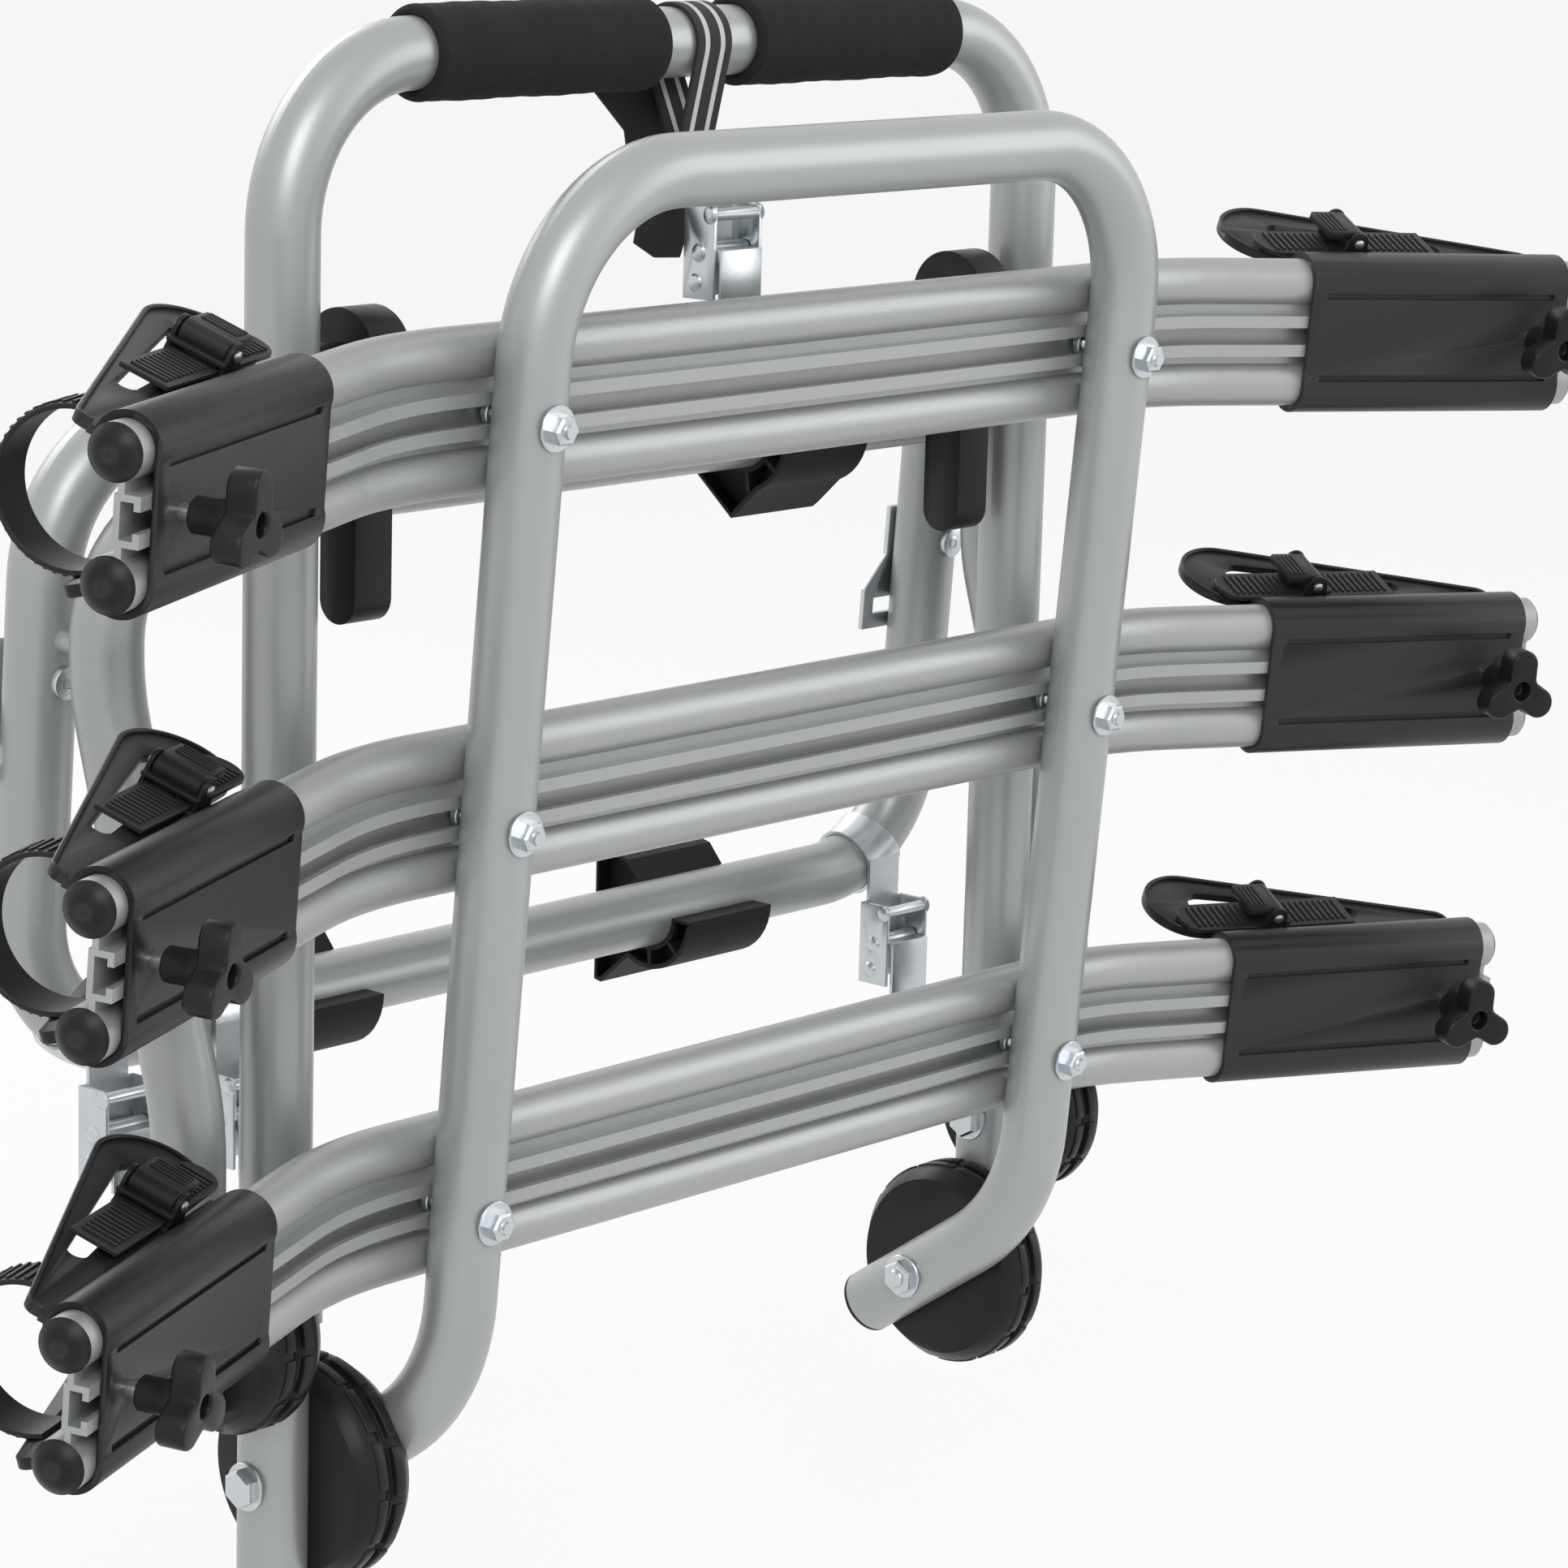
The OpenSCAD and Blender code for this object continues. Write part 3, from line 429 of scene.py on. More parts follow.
def makePiece(name, bm, place, slotName, body, stands=(), sharp=35):
    bmesh.ops.transform(bm, matrix=toMetres @ place, verts=bm.verts)
    if place.determinant() < 0:
        bmesh.ops.reverse_faces(bm, faces=bm.faces)
    mesh = bpy.data.meshes.new(name)
    bm.to_mesh(mesh)
    bm.free()
    mesh.materials.append(finishes[slotName])
    mesh.shade_smooth()
    mesh.set_sharp_from_angle(angle=math.radians(sharp))
    obj = bpy.data.objects.new(name, mesh)
    bpy.context.scene.collection.objects.link(obj)
    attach(obj, body)
    if stands:
        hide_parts(*stands)
    return obj


def roundedCopy(nodeName, name, slotName, size, segs=2, flat=1.0, extra=None):
    bm = bmesh.new()
    bm.from_mesh(nodes[nodeName].data)
    bmesh.ops.scale(bm, vec=(1000, 1000, 1000), verts=bm.verts)
    bmesh.ops.remove_doubles(bm, verts=bm.verts, dist=0.005)
    bmesh.ops.dissolve_limit(bm, angle_limit=math.radians(flat), verts=bm.verts, edges=bm.edges)
    roundEdges(bm, crispEdges(bm, 40), size, segs)
    for part, place in extra or ():
        joinIn(bm, part, place)
    return makePiece(name, bm, Matrix.Identity(4), slotName, nodeBody[nodeName], (nodeName,))


def dress(nodeName, slotName):
    mesh = nodes[nodeName].data
    mesh.materials.clear()
    mesh.materials.append(finishes[slotName])


# carried-over solids
carried = {
    "silver_paint": ("main_frame", "platform_frame", "support_frame", "bumper_frame"),
    "rail_alloy": ("rail_bottom", "rail_middle", "rail_top"),
    "black_plastic": ("main_caps", "platform_caps", "rail_plugs"),
    "zinc_steel": ("side_hangers",),
}
for slotName, names in carried.items():
    for nodeName in names:
        dress(nodeName, slotName)
print("carried solids dressed")

# foam grips: two soft sleeves with rounded mouths and a slightly uneven skin
grips = {
    "outer": 23.0, "inner": 17.6, "gap": 32.0, "length": 158.0, "mouth": 4.0, "uneven": 0.25, "rings": 40,
}


def makeGrips():
    bm = bmesh.new()
    half = grips["length"] / 2
    outer = grips["outer"]
    mouth = grips["mouth"]
    profile = [(grips["inner"], -half + 1)]
    for step in range(9):
        bend = math.radians(180 - 90 * step / 8)
        profile.append((outer - mouth + mouth * math.sin(bend), -half + mouth + mouth * math.cos(bend)))
    for step in range(1, grips["rings"]):
        z = -half + mouth + (grips["length"] - 2 * mouth) * step / grips["rings"]
        swell = grips["uneven"] * (math.sin(z * 0.11) + 0.6 * math.sin(z * 0.37 + 1))
        profile.append((outer + swell, z))
    for step in range(9):
        bend = math.radians(90 - 90 * step / 8)
        profile.append((outer - mouth + mouth * math.sin(bend), half - mouth + mouth * math.cos(bend)))
    profile.append((grips["inner"], half - 1))
    profile.append((grips["inner"], -half + 1))
    for side in (-1, 1):
        place = shift(side * (grips["gap"] + half), 0, rack["mainTop"]) @ turned(90, "Y")
        joinIn(bm, lathe(profile, 56), place)
    piece = makePiece("foamGrips", bm, Matrix.Identity(4), "foam", "main", ("foam_grips",), 60)


makeGrips()
print("foam grips made")

# wheel holders: a shell on the rail with two slotted ears; X runs inward from the outer end
holder = {
    "inset": 10.0, "lobeR": 16.1, "knobInset": 22.0, "edge": 0.7, "earY": 14.0, "earZ": 30.0, "earTilt": 18.7,
    "earT": 4.0, "earWide": (160.0, 36.0, 27.0), "earSlim": (10.0, 8.0, 8.0), "rimHigh": 1.6, "rimWide": 2.4,
    "groove": (147.0, 1.3, 3.8), "grooveAt": (82.5, -12.75, 22.5),
}
bendX = rack["platHalf"] + rack["railLead"] + rack["railBend"] * math.sin(math.radians(rack["railAngle"]))
bendY = rack["railBend"] * (1 - math.cos(math.radians(rack["railAngle"])))
endLength = (rack["railEnd"] - bendX) / math.cos(math.radians(rack["railAngle"]))
earPlace = shift(0, holder["earY"], holder["earZ"]) @ turned(holder["earTilt"], "X")
flipX = Matrix.Diagonal((-1, 1, 1, 1))
flipZ = Matrix.Diagonal((1, 1, -1, 1))


def holderPlace(level, side):
    at = shift(side * bendX, rack["railY"] - bendY, rack["railFirst"] + level * rack["railPitch"])
    place = platformPlace @ at @ turned(-side * rack["railAngle"], "Z")
    place = place @ shift(side * (endLength - holder["inset"]), 0, 0)
    return place @ flipX if side > 0 else place


def holderTag(level, side):
    return levelNames[level] + "_" + sideNames[side]


def rimPoint(x, y, radius, angle):
    reach = radius - holder["rimWide"] / 2
    return Vector((x + reach * math.cos(angle), y + reach * math.sin(angle), 0))


def earRim():
    wideX, wideY, wideR = holder["earWide"]
    slimX, slimY, slimR = holder["earSlim"]
    base = math.atan2(slimY - wideY, slimX - wideX)
    lean = math.acos((wideR - slimR) / math.hypot(slimX - wideX, slimY - wideY))
    path = []
    for step in range(8):
        angle = math.pi + 0.4 - (math.pi + 0.4 - (base - lean) % (2 * math.pi)) * step / 7
        path.append(rimPoint(slimX, slimY, slimR, angle))
    turnFrom = (base - lean) % (2 * math.pi)
    for step in range(25):
        angle = turnFrom - (turnFrom + math.radians(70)) * step / 24
        path.append(rimPoint(wideX, wideY, wideR, angle))
    return path


def rimPart():
    path = earRim()
    places = []
    for i, point in enumerate(path):
        ahead = (path[min(i + 1, len(path) - 1)] - path[max(i - 1, 0)]).normalized()
        up = Vector((0, 0, 1))
        axes = Matrix((ahead.cross(up), up, -ahead)).transposed().to_4x4()
        places.append(Matrix.Translation((point.x, point.y, holder["earT"])) @ axes)
    return sweep(bandSection(holder["rimWide"], 2 * holder["rimHigh"], 0.6), places)


# toothed wheel strap: a loop behind the ears and a flat tail through the buckle
wheelStrap = {
    "width": 25.0, "thick": 2.4, "at": 40.0, "back": 38.0, "loopR": 34.9, "reach": 108.7, "pitch": 4.0,
    "tooth": (21.0, 1.5, 1.3), "toothSunk": 0.3, "bandWidth": 24.4, "bandFrom": 68.0, "bandTo": 178.0,
    "bandY": 17.2, "bandZ": 7.0,
}


def bandSection(width, thick, corner=0.5):
    w, t, c = width / 2, thick / 2, corner
    return [(-w + c, -t), (w - c, -t), (w, -t + c), (w, t - c),
            (w - c, t), (-w + c, t), (-w, t - c), (-w, -t + c)]


def bandPlaces(path, x):
    places = []
    side = Vector((1, 0, 0))
    for i, point in enumerate(path):
        ahead = (path[min(i + 1, len(path) - 1)] - path[max(i - 1, 0)]).normalized()
        out = ahead.cross(side)
        axes = Matrix((side, out, side.cross(out))).transposed().to_4x4()
        places.append(Matrix.Translation((x, point.y, point.z)) @ axes)
    return places


def tailOutline():
    r = wheelStrap["bandWidth"] / 2
    points = [(wheelStrap["bandFrom"], r), (wheelStrap["bandFrom"], -r)]
    for step in range(17):
        angle = math.radians(-90 + 180 * step / 16)
        points.append((wheelStrap["bandTo"] - r + r * math.cos(angle), r * math.sin(angle)))
    return points


def makeStrap(level, side):
    tag = holderTag(level, side)
    reach = wheelStrap["reach"]
    centre = Vector((wheelStrap["at"], wheelStrap["back"], 0))
    path = []
    for step in range(49):
        swing = math.radians(-reach + 2 * reach * step / 48)
        path.append(centre + Vector((0, math.cos(swing), math.sin(swing))) * wheelStrap["loopR"])
    bm = sweep(bandSection(wheelStrap["width"], wheelStrap["thick"]), bandPlaces(path, wheelStrap["at"]))
    toothLong, toothWide, toothHigh = wheelStrap["tooth"]
    count = int(math.radians(2 * reach) * wheelStrap["loopR"] / wheelStrap["pitch"]) - 6
    for i in range(count):
        swing = (reach - 14) * (2 * i / (count - 1) - 1)
        out = wheelStrap["loopR"] + wheelStrap["thick"] / 2 + toothHigh / 2 - wheelStrap["toothSunk"]
        place = Matrix.Translation(centre) @ turned(swing, "X") @ shift(0, out, 0)
        joinIn(bm, block((toothLong, toothHigh, toothWide)), place)
    tail = prism(tailOutline(), wheelStrap["thick"], 0.4, 1)
    joinIn(bm, tail, earPlace @ shift(0, wheelStrap["bandY"], wheelStrap["bandZ"]))
    x = wheelStrap["bandFrom"] + 5
    while x < wheelStrap["bandTo"] - 8:
        top = wheelStrap["bandZ"] + wheelStrap["thick"] + toothHigh / 2 - wheelStrap["toothSunk"]
        if abs(x - buckle["pinX"]) > 11:
            tooth = block((toothWide, toothLong - 3, toothHigh))
            joinIn(bm, tooth, earPlace @ shift(x, wheelStrap["bandY"], top))
        x += wheelStrap["pitch"]
    place = holderPlace(level, side)
    makePiece("wheelStrap_" + tag, bm, place, "strap_plastic", "holder_" + tag, ("strap_" + tag,))


# ratchet buckle: a base with two cheeks, a bright pin and a ribbed lever
buckle = {
    "pinX": 123.0, "pinY": 17.2, "pinZ": 16.1, "base": (20.0, 29.4, 3.0), "cheek": 2.2, "cheekR": 6.4,
    "pinR": 2.6, "pinHeadR": 2.9, "pinHalf": 16.4, "leverR": 6.0, "leverWide": 24.0, "tab": (18.0, 5.0),
    "ribs": 4,
}


def cheekOutline():
    low = -buckle["pinZ"] + holder["earT"]
    points = [(-9.0, low), (9.0, low)]
    for step in range(13):
        angle = math.radians(180 * step / 12)
        points.append((buckle["cheekR"] * math.cos(angle), buckle["cheekR"] * math.sin(angle)))
    return points


def makeBuckle(level, side):
    tag = holderTag(level, side)
    pinPlace = holderPlace(level, side) @ earPlace @ shift(buckle["pinX"], buckle["pinY"], buckle["pinZ"])
    long, wide, thick = buckle["base"]
    low = holder["earT"] - buckle["pinZ"]
    bm = block((long, wide, thick), (0, 0, low + thick / 2), 0.7)
    for end in (-1, 1):
        cheek = prism(cheekOutline(), buckle["cheek"], 0.5)
        inner = wide / 2 - buckle["cheek"]
        joinIn(bm, cheek, shift(0, inner + buckle["cheek"] if end > 0 else -inner, 0) @ turned(90, "X"))
    bridge = block((6, wide, 2.4), (-6.5, 0, low + 8.4), 0.6)
    joinIn(bm, bridge)
    makePiece("strapBuckle_" + tag, bm, pinPlace, "black_plastic", "holder_" + tag, ("buckle_" + tag,))
    half = buckle["pinHalf"]
    pinR = buckle["pinR"]
    headR = buckle["pinHeadR"]
    pin = lathe([(0, -half), (1.6, -half), (headR, -half + 0.8), (headR, -half + 1.6), (pinR, -half + 1.6),
                 (pinR, half - 1.6), (headR, half - 1.6), (headR, half - 0.8), (1.6, half), (0, half)], 28)
    makePiece("bucklePin_" + tag, pin, pinPlace @ turned(90, "X"), "zinc_steel", "holder_" + tag)
    tabLong, tabThick = buckle["tab"]
    wide = buckle["leverWide"]
    bm = bmesh.new()
    joinIn(bm, rod(buckle["leverR"], -wide / 2, wide / 2, 0.7), turned(90, "X"))
    joinIn(bm, block((tabLong, wide, tabThick), (tabLong / 2, 0, buckle["leverR"] - tabThick / 2), 1.0))
    for i in range(buckle["ribs"]):
        joinIn(bm, block((1.4, wide - 5, 1.2), (7 + 2.8 * i, 0, buckle["leverR"] + 0.2), 0.3, 1))
    makePiece("strapLever_" + tag, bm, pinPlace, "black_plastic", "lever_" + tag, ("lever_" + tag,))


# star knob: three rounded lobes on a hub, hollow in the middle
starKnob = {"reach": 23.0, "waist": 10.5, "depth": 14.0, "off": 22.0, "hubR": 8.0, "hole": 5.2, "edge": 1.6}


def starOutline(count=96):
    mean = (starKnob["reach"] + starKnob["waist"]) / 2
    swing = (starKnob["reach"] - starKnob["waist"]) / 2
    points = []
    for i in range(count):
        angle = 2 * math.pi * i / count
        wave = math.cos(3 * (angle - math.pi / 2))
        reach = mean + swing * math.copysign(abs(wave) ** 0.8, wave)
        points.append((reach * math.cos(angle), reach * math.sin(angle)))
    return points


def makeKnob(level, side):
    tag = holderTag(level, side)
    bm = bmesh.new()
    outer = [bm.verts.new((x, y, 0)) for x, y in starOutline()]
    rim = [bm.edges.new((outer[i], outer[i - 1])) for i in range(len(outer))]
    hole = bmesh.ops.create_circle(bm, cap_ends=False, segments=len(outer), radius=starKnob["hole"])["verts"]
    mouth = list({edge for vert in hole for edge in vert.link_edges})
    bmesh.ops.bridge_loops(bm, edges=rim + mouth)
    walls = bmesh.ops.extrude_edge_only(bm, edges=rim)["geom"]
    bmesh.ops.translate(bm, vec=(0, 0, -starKnob["depth"]),
                        verts=[g for g in walls if isinstance(g, bmesh.types.BMVert)])
    back = [g for g in walls if isinstance(g, bmesh.types.BMEdge)]
    bmesh.ops.edgeloop_fill(bm, edges=back)
    walls = bmesh.ops.extrude_edge_only(bm, edges=mouth)["geom"]
    bmesh.ops.translate(bm, vec=(0, 0, -starKnob["depth"] * 0.6),
                        verts=[g for g in walls if isinstance(g, bmesh.types.BMVert)])
    bmesh.ops.edgeloop_fill(bm, edges=[g for g in walls if isinstance(g, bmesh.types.BMEdge)])
    bmesh.ops.recalc_face_normals(bm, faces=bm.faces)
    roundEdges(bm, crispEdges(bm, 50), starKnob["edge"], 3)
    front = holder["lobeR"] + starKnob["off"] + starKnob["depth"]
    facing = turned(90, "X")
    part = bmesh.new()
    joinIn(part, bm, shift(0, 0, front))
    low = holder["lobeR"] + 5
    hubR = starKnob["hubR"]
    hub = lathe([(0, low), (hubR - 1, low), (hubR, low + 1), (hubR, front - 20),
                 (hubR + 2.5, front - 13), (0, front - 13)])
    joinIn(part, hub)
    place = holderPlace(level, side) @ shift(holder["knobInset"], 0, 0) @ facing
    makePiece("starKnob_" + tag, part, place, "black_plastic", "knob_" + tag, ("knob_" + tag,))
    end = holder["lobeR"] + 6
    stud = lathe([(0, -3.5), (7, -3.5), (7, 0.5), (4, 0.5), (4, end), (0, end)], 32)
    makePiece("knobStud_" + tag, stud, place, "zinc_steel", "knob_" + tag)


def makeHolder(level, side):
    tag = holderTag(level, side)
    parts = []
    for mirror in (Matrix.Identity(4), flipZ):
        parts.append((rimPart(), holderPlace(level, side) @ mirror @ earPlace))
        floorOf = block(holder["groove"], holder["grooveAt"])
        parts.append((floorOf, holderPlace(level, side) @ mirror))
    roundedCopy("holder_" + tag, "wheelHolder_" + tag, "black_plastic", holder["edge"], extra=parts)


for level in range(3):
    for side in (-1, 1):
        makeHolder(level, side)
        makeStrap(level, side)
        makeBuckle(level, side)
        makeKnob(level, side)
print("wheel holders with straps, buckles and knobs made")

# hinges: rounded halves with a segmented rim
hinge = {
    "gap": 0.15, "edge": 0.8, "rimIn": 6.0, "rimOut": 1.2, "from": 2.6, "to": 8.2, "segments": 12,
    "space": 5.0, "platR": 55.0, "supR": 47.0,
}


def sectorOutline(inner, outer, span, count=7):
    points = []
    for i in range(count):
        angle = span * (i / (count - 1) - 0.5)
        points.append((outer * math.cos(angle), outer * math.sin(angle)))
    for i in range(count):
        angle = span * (0.5 - i / (count - 1))
        points.append((inner * math.cos(angle), inner * math.sin(angle)))
    return points


def rimSegments(place, radius):
    parts = []
    step = 360 / hinge["segments"]
    span = math.radians(step - hinge["space"])
    for i in range(hinge["segments"]):
        outline = sectorOutline(radius - hinge["rimIn"], radius + hinge["rimOut"], span)
        part = prism(outline, hinge["to"] - hinge["from"], 0.6)
        parts.append((part, place @ turned(step * (i + 0.5), "Z") @ shift(0, 0, hinge["from"])))
    return parts


def makeHinges():
    mid = (rack["mainHalf"] + rack["platHalf"]) / 2
    outMid = (rack["mainHalf"] + rack["supHalf"]) / 2
    high = rack["supHinge"]
    jobs = (
        ("platform_hinge_fixed", Matrix.Identity(4), mid + hinge["gap"], 1, 0.0, hinge["platR"]),
        ("platform_hinge_moving", platformPlace, mid - hinge["gap"], -1, 0.0, hinge["platR"]),
        ("support_hinge_fixed", Matrix.Identity(4), outMid - hinge["gap"], -1, high, hinge["supR"]),
        ("support_hinge_moving", Matrix.Identity(4), outMid + hinge["gap"], 1, high, hinge["supR"]),
    )
    for nodeName, frameOf, x, away, z, radius in jobs:
        parts = []
        for side in (-1, 1):
            place = frameOf @ shift(side * x, 0, z) @ turned(side * away * 90, "Y")
            parts += rimSegments(place, radius)
        roundedCopy(nodeName, "toothed_" + nodeName, "black_plastic", hinge["edge"], extra=parts)


makeHinges()
print("hinges made")

# bolts, nuts and washers
fastener = {
    "hingeAf": 17.0, "hingeHead": 7.0, "hingeR": 5.0, "hingeWasher": (12.0, 1.8), "railAf": 13.0,
    "railNut": 6.5, "railR": 4.0, "railWasher": (11.0, 1.6), "chamfer": 1.1, "threadStep": 1.25,
}


def hexPart(across, height):
    reach = across / 2 / math.cos(math.radians(30))
    turns = [math.radians(60 * i) for i in range(6)]
    outline = [(reach * math.cos(turn), reach * math.sin(turn)) for turn in turns]
    bm = prism(outline, height)
    top = [edge for edge in bm.edges if all(v.co.z > height - 0.01 for v in edge.verts)]
    roundEdges(bm, top, fastener["chamfer"], 1)
    return bm


def threadPart(radius, low, high):
    step = fastener["threadStep"]
    profile = [(0, low), (radius - 0.5, low)]
    z = low
    while z + step < high - 0.8:
        profile += [(radius - 0.5, z + 0.1), (radius, z + step / 2)]
        z += step
    profile += [(radius - 0.5, z), (radius - 0.9, high), (0, high)]
    return lathe(profile, 32)


def washerPart(radius, thick, hole):
    return lathe([(hole, 0), (radius - 0.4, 0), (radius, 0.4), (radius, thick - 0.4), (radius - 0.4, thick),
                  (hole, thick), (hole, 0)], 40)


def makeHingeBolts():
    bm = bmesh.new()
    tube = rack["tubeR"]
    washR, washT = fastener["hingeWasher"]
    head = fastener["hingeHead"]
    jobs = ((rack["mainHalf"] + tube, rack["platHalf"] - tube, 0.0),
            (rack["mainHalf"] - tube, rack["supHalf"] + tube, rack["supHinge"]))
    for side in (-1, 1):
        for headX, nutX, z in jobs:
            away = 1 if headX > nutX else -1
            headPlace = shift(side * headX, 0, z) @ turned(side * away * 90, "Y")
            nutPlace = shift(side * nutX, 0, z) @ turned(-side * away * 90, "Y")
            for place in (headPlace, nutPlace):
                joinIn(bm, washerPart(washR, washT, fastener["hingeR"]), place)
            joinIn(bm, hexPart(fastener["hingeAf"], head - washT), headPlace @ shift(0, 0, washT))
            joinIn(bm, hexPart(fastener["hingeAf"], head - washT), nutPlace @ shift(0, 0, washT))
            joinIn(bm, threadPart(fastener["hingeR"], -abs(headX - nutX), head + 2), nutPlace)
    makePiece("hingeBolts", bm, Matrix.Identity(4), "zinc_steel", "main", ("hinge_bolts",))


def makeRailBolts():
    bm = bmesh.new()
    washR, washT = fastener["railWasher"]
    front = rack["platOffset"] + rack["tubeR"]
    back = -rack["railY"] + rack["railR"] - 3.3
    for level in range(3):
        for side in (-1, 1):
            z = rack["railFirst"] + level * rack["railPitch"]
            place = shift(side * rack["platHalf"], 0, z) @ turned(90, "X")
            joinIn(bm, washerPart(washR, washT, fastener["railR"]), place @ shift(0, 0, front))
            joinIn(bm, hexPart(fastener["railAf"], fastener["railNut"]), place @ shift(0, 0, front + washT))
            tip = front + washT + fastener["railNut"] + 2
            joinIn(bm, threadPart(fastener["railR"], back - 2, tip), place)
            joinIn(bm, rod(7.0, back - 4, back, 0.5), place)
    makePiece("railBolts", bm, platformPlace, "zinc_steel", "platform", ("rail_bolts",))


makeHingeBolts()
makeRailBolts()
print("bolts made")

# anchor plates with pan-head screws, blocks beside the main legs
small = {"screwR": 8.0, "screwHigh": 3.6, "recess": 2.6, "plateEdge": 0.5, "blockEdge": 2.0}


def screwHead():
    profile = [(0, small["screwHigh"] - 1.6), (small["recess"], small["screwHigh"] - 0.4)]
    for step in range(9):
        angle = math.radians(72 - 72 * step / 8)
        profile.append((small["screwR"] * math.cos(angle), small["screwHigh"] * math.sin(angle) ** 1.2))
    return lathe(profile + [(0, 0)], 36)


def makeSmall():
    lean = math.degrees(math.atan2(rack["bumpRun"], rack["bumpRise"]))
    y = rack["bumpBack"] - rack["bumpRun"] * (rack["anchorZ"] - rack["bumpLow"]) / rack["bumpRise"]
    parts = []
    for side in (-1, 1):
        leg = shift(side * rack["supHalf"], y, rack["anchorZ"]) @ turned(lean, "X")
        parts.append((screwHead(), leg @ shift(0, -rack["tubeR"] - rack["seat"], 0) @ turned(90, "X")))
    roundedCopy("anchor_plates", "anchorPlates", "zinc_steel", small["plateEdge"], extra=parts)
    roundedCopy("leg_blocks", "legBlocks", "black_plastic", small["blockEdge"], 3)


makeSmall()
print("plates and blocks made")

# cam buckles: steel frames with rivets, bent levers
cam = {
    "wide": 35.0, "deep": 20.0, "long": 46.0, "rivetR": 4.6, "rivetHigh": 1.6, "edge": 0.5, "topDrop": 78.0,
    "sideDrop": 24.0, "sideX": (-290.0, -207.0, 290.0), "bendR": 70.0, "bendIn": 34.0,
}


def rivetPart():
    return lathe([(0, cam["rivetHigh"]), (1.6, cam["rivetHigh"] - 0.1), (3.4, cam["rivetHigh"] * 0.6),
                  (cam["rivetR"], 0), (0, 0)], 24)


def camRivets(pins):
    parts = []
    for pin in pins:
        for end in (-1, 1):
            for y, z in ((0, 0), (3 - cam["deep"] / 2, cam["long"] / 2 - 4), (2, 8 - cam["long"] / 2)):
                place = shift(*pin) @ shift(end * cam["wide"] / 2, y, z) @ turned(end * 90, "Y")
                parts.append((rivetPart(), place))
    return parts


camBack = rack["tubeR"] + rack["seat"] + cam["deep"] / 2
topPin = (0, -camBack, rack["mainTop"] - cam["topDrop"] - cam["long"] / 2)
sideLift = cam["bendR"] - math.sqrt(cam["bendR"] ** 2 - cam["bendIn"] ** 2)
sideShift = sideLift * rack["bumpRun"] / rack["bumpRise"]
sideZ = rack["bumpLow"] - cam["sideDrop"] - cam["long"] / 2
sidePins = []
for x, lift, back in zip(cam["sideX"], (sideLift, 0, sideLift), (sideShift, 0, sideShift)):
    sidePins.append((x, rack["bumpBack"] - camBack - back, sideZ + lift))
roundedCopy("top_buckle", "topBuckle", "zinc_steel", cam["edge"], extra=camRivets([topPin]))
roundedCopy("side_buckles", "sideBuckles", "zinc_steel", cam["edge"], extra=camRivets(sidePins))
for nodeName in ("top_buckle_lever", "side_lever_1", "side_lever_2", "side_lever_3"):
    roundedCopy(nodeName, "bent_" + nodeName, "zinc_steel", cam["edge"])
print("cam buckles made")

# top strap: striped webbing, pinched below the top bar and stitched, with a tail to its buckle
topWeb = {"width": 25.0, "thick": 1.9, "drop": 78.0, "gap": 1.35, "tailY": -18.8, "pinch": (-6.0, -55.0)}
looseEnds = {
    "strapFlap": (14.0, ((-56, 662), (12, 661), (14, 622), (-24, 622), (-27, 636))),
    "strapTail": (-6.0, ((-10, 626), (10, 626), (4, 600), (-7, 574), (-25, 575), (-40, 583), (-36, 600))),
}


def makeTopStrap():
    r = rack["tubeR"] + topWeb["gap"]
    y, z = topWeb["pinch"]
    facing = math.atan2(z, y)
    spread = math.acos(r / math.hypot(y, z))
    front = facing - spread + 2 * math.pi
    back = facing + spread
    tops = rack["mainTop"]
    low = tops - topWeb["drop"]
    path = [Vector((0, topWeb["tailY"], low)), Vector((0, topWeb["tailY"] * 0.85, low + 6))]
    path += [Vector((0, y - 3, tops + z - 4)), Vector((0, y - 1, tops + z + 3))]
    for step in range(1, 5):
        far = Vector((0, r * math.cos(front), tops + r * math.sin(front)))
        path.append(Vector((0, y - 1, tops + z + 3)).lerp(far, step / 5))
    for step in range(33):
        angle = front + (back - front) * step / 32
        path.append(Vector((0, r * math.cos(angle), tops + r * math.sin(angle))))
    path.append(Vector((0, y + 3, tops + z + 3)))
    path.append(Vector((0, y + 1, tops + z - 4)))
    bm = sweep(bandSection(topWeb["width"], topWeb["thick"], 0.4), bandPlaces(path, 0))
    makePiece("topStrap", bm, Matrix.Identity(4), "webbing", "main", ("top_strap",))
    for name, (y, outline) in looseEnds.items():
        bm = prism([(x, -z) for x, z in outline], topWeb["thick"], 0.4)
        makePiece(name, bm, shift(0, y, 0) @ turned(-90, "X"), "webbing", "main")


makeTopStrap()
print("top strap made")

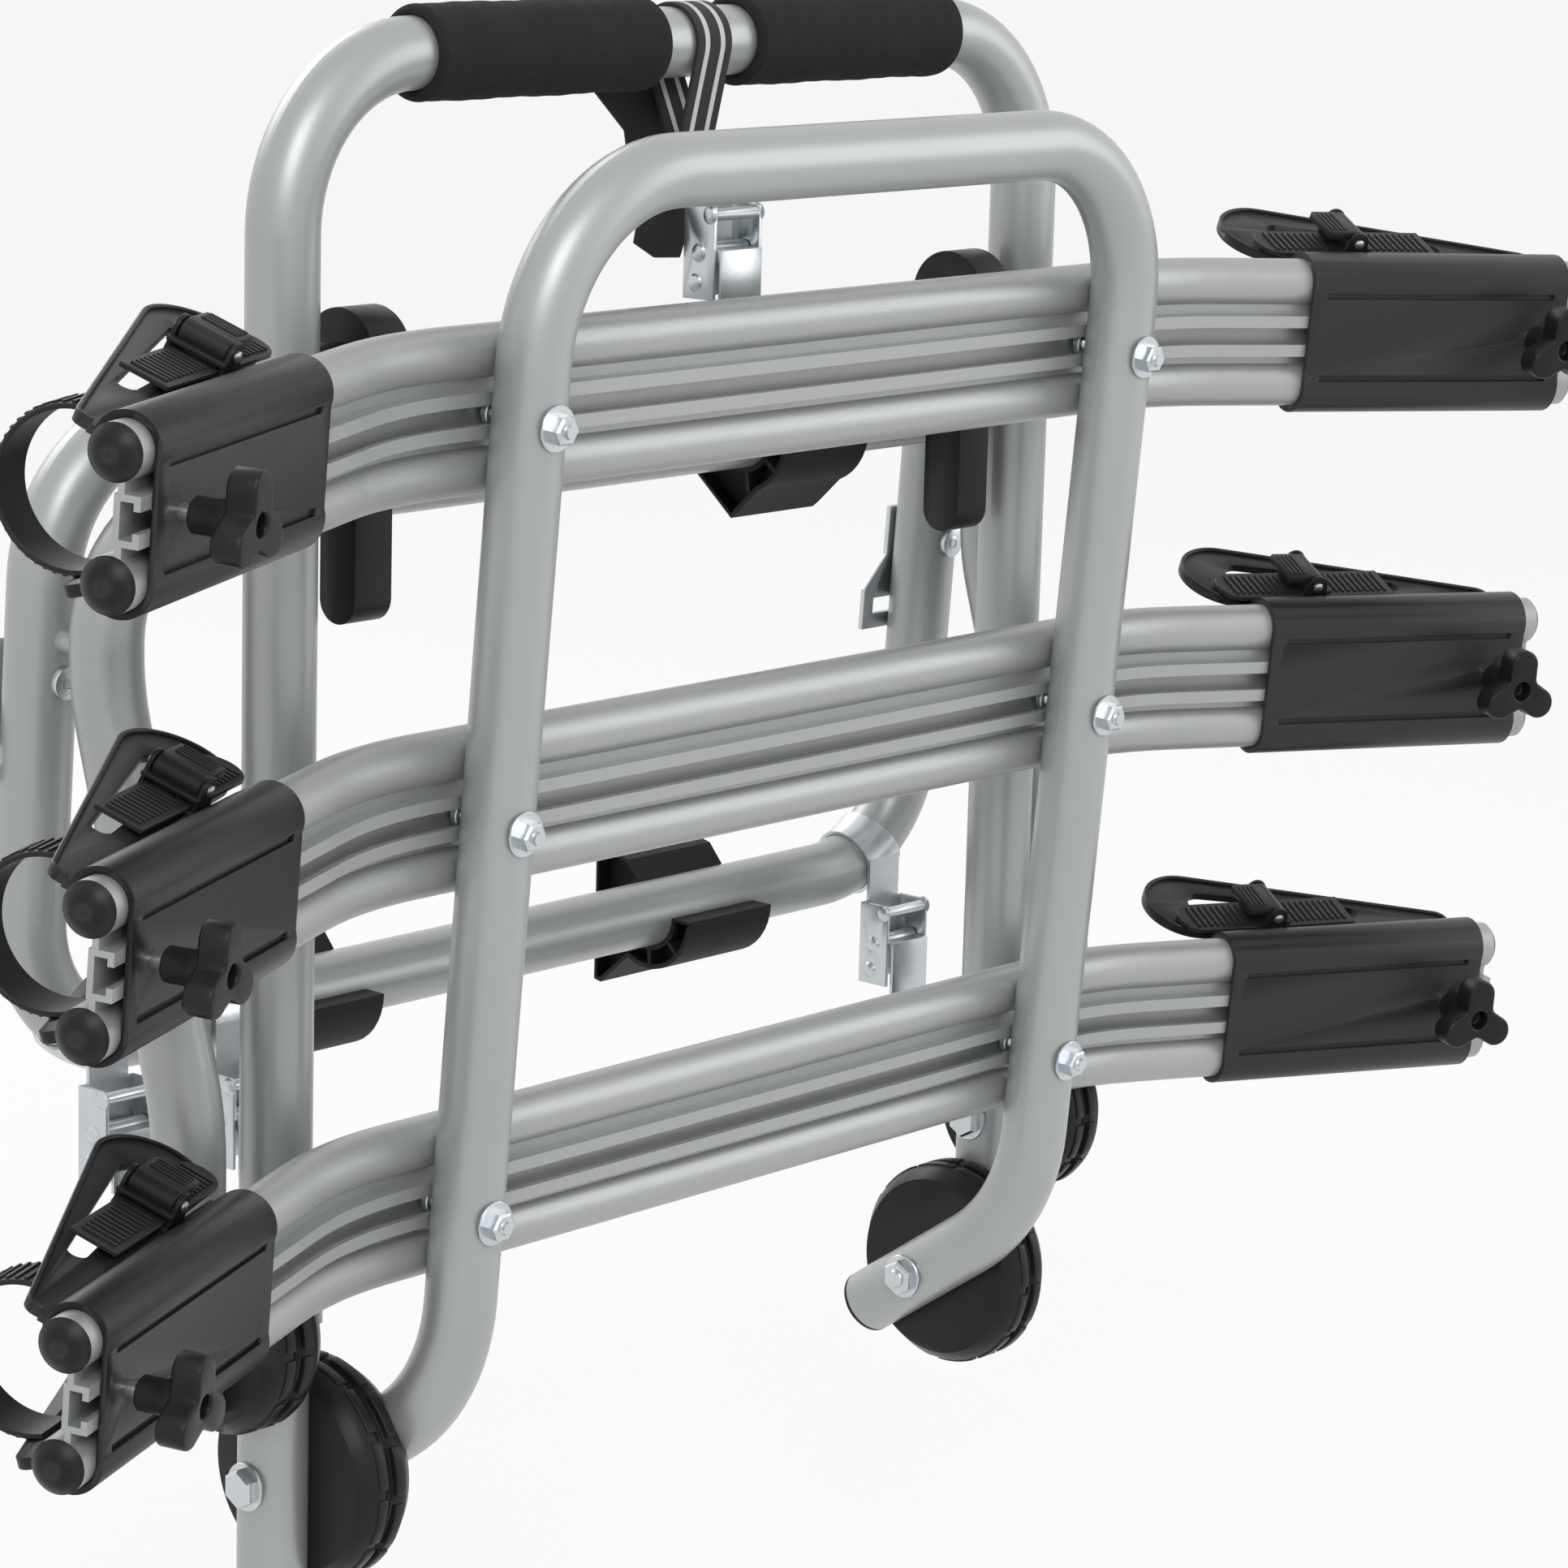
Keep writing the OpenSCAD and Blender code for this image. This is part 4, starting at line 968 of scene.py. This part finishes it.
# saddle pads: a moulded saddle with a flat back and ribbed ends
pad = {
    "at": 148.0, "long": 66.0, "saddleR": 17.7, "outerR": 31.0, "inset": 2.6, "sunk": 9.0, "rib": 2.2,
    "lowHalf": 44.0, "highHalf": 24.0, "back": 39.5, "tilt": -50.0,
}


def padOutline(half, back):
    points = [(back, half * 0.75), (back, -half), (back - 5, -half - 1)]
    for step in range(13):
        angle = math.radians(-62 - 118 * step / 12)
        points.append((pad["outerR"] * math.cos(angle), pad["outerR"] * math.sin(angle)))
    for step in range(21):
        angle = math.radians(180 + 250 * step / 20)
        points.append((pad["saddleR"] * math.cos(angle), pad["saddleR"] * math.sin(angle)))
    points.append((back - 24, half * 0.62))
    return points


def padPart(half, back):
    bm = prism(padOutline(half, back), pad["long"])
    ends = [face for face in bm.faces if abs(face.normal.z) > 0.9]
    for face in ends:
        bmesh.ops.inset_region(bm, faces=[face], thickness=pad["inset"], depth=0)
        bmesh.ops.inset_region(bm, faces=[face], thickness=0.4, depth=0)
        sink = -pad["sunk"] if face.normal.z > 0 else pad["sunk"]
        bmesh.ops.translate(bm, vec=(0, 0, sink), verts=face.verts)
    for angle in (-48, -92, -136):
        mid = (pad["saddleR"] + pad["outerR"]) / 2
        rib = block((pad["outerR"] - pad["saddleR"] - 1, pad["rib"], pad["long"] - 1))
        joinIn(bm, rib, shift(0, 0, pad["long"] / 2) @ turned(angle, "Z") @ shift(mid, 0, 0))
    return bm


def makePads():
    bm = bmesh.new()
    along = Matrix(((0, 0, 1, 0), (1, 0, 0, 0), (0, 1, 0, 0), (0, 0, 0, 1)))
    for side in (-1, 1):
        start = side * pad["at"] - pad["long"] / 2
        lowPad = padPart(pad["lowHalf"], pad["back"])
        joinIn(bm, lowPad, shift(start, rack["bumpBack"], rack["bumpLow"]) @ along)
    place = shift(pad["at"] - pad["long"] / 2, rack["supBack"], rack["supTop"]) @ turned(pad["tilt"], "X")
    joinIn(bm, padPart(pad["highHalf"], pad["back"]), place @ along)
    makePiece("saddlePads", bm, Matrix.Identity(4), "pad_rubber", "support", ("bumper_pads",))


makePads()
print("pads made")

bpy.context.view_layer.update()
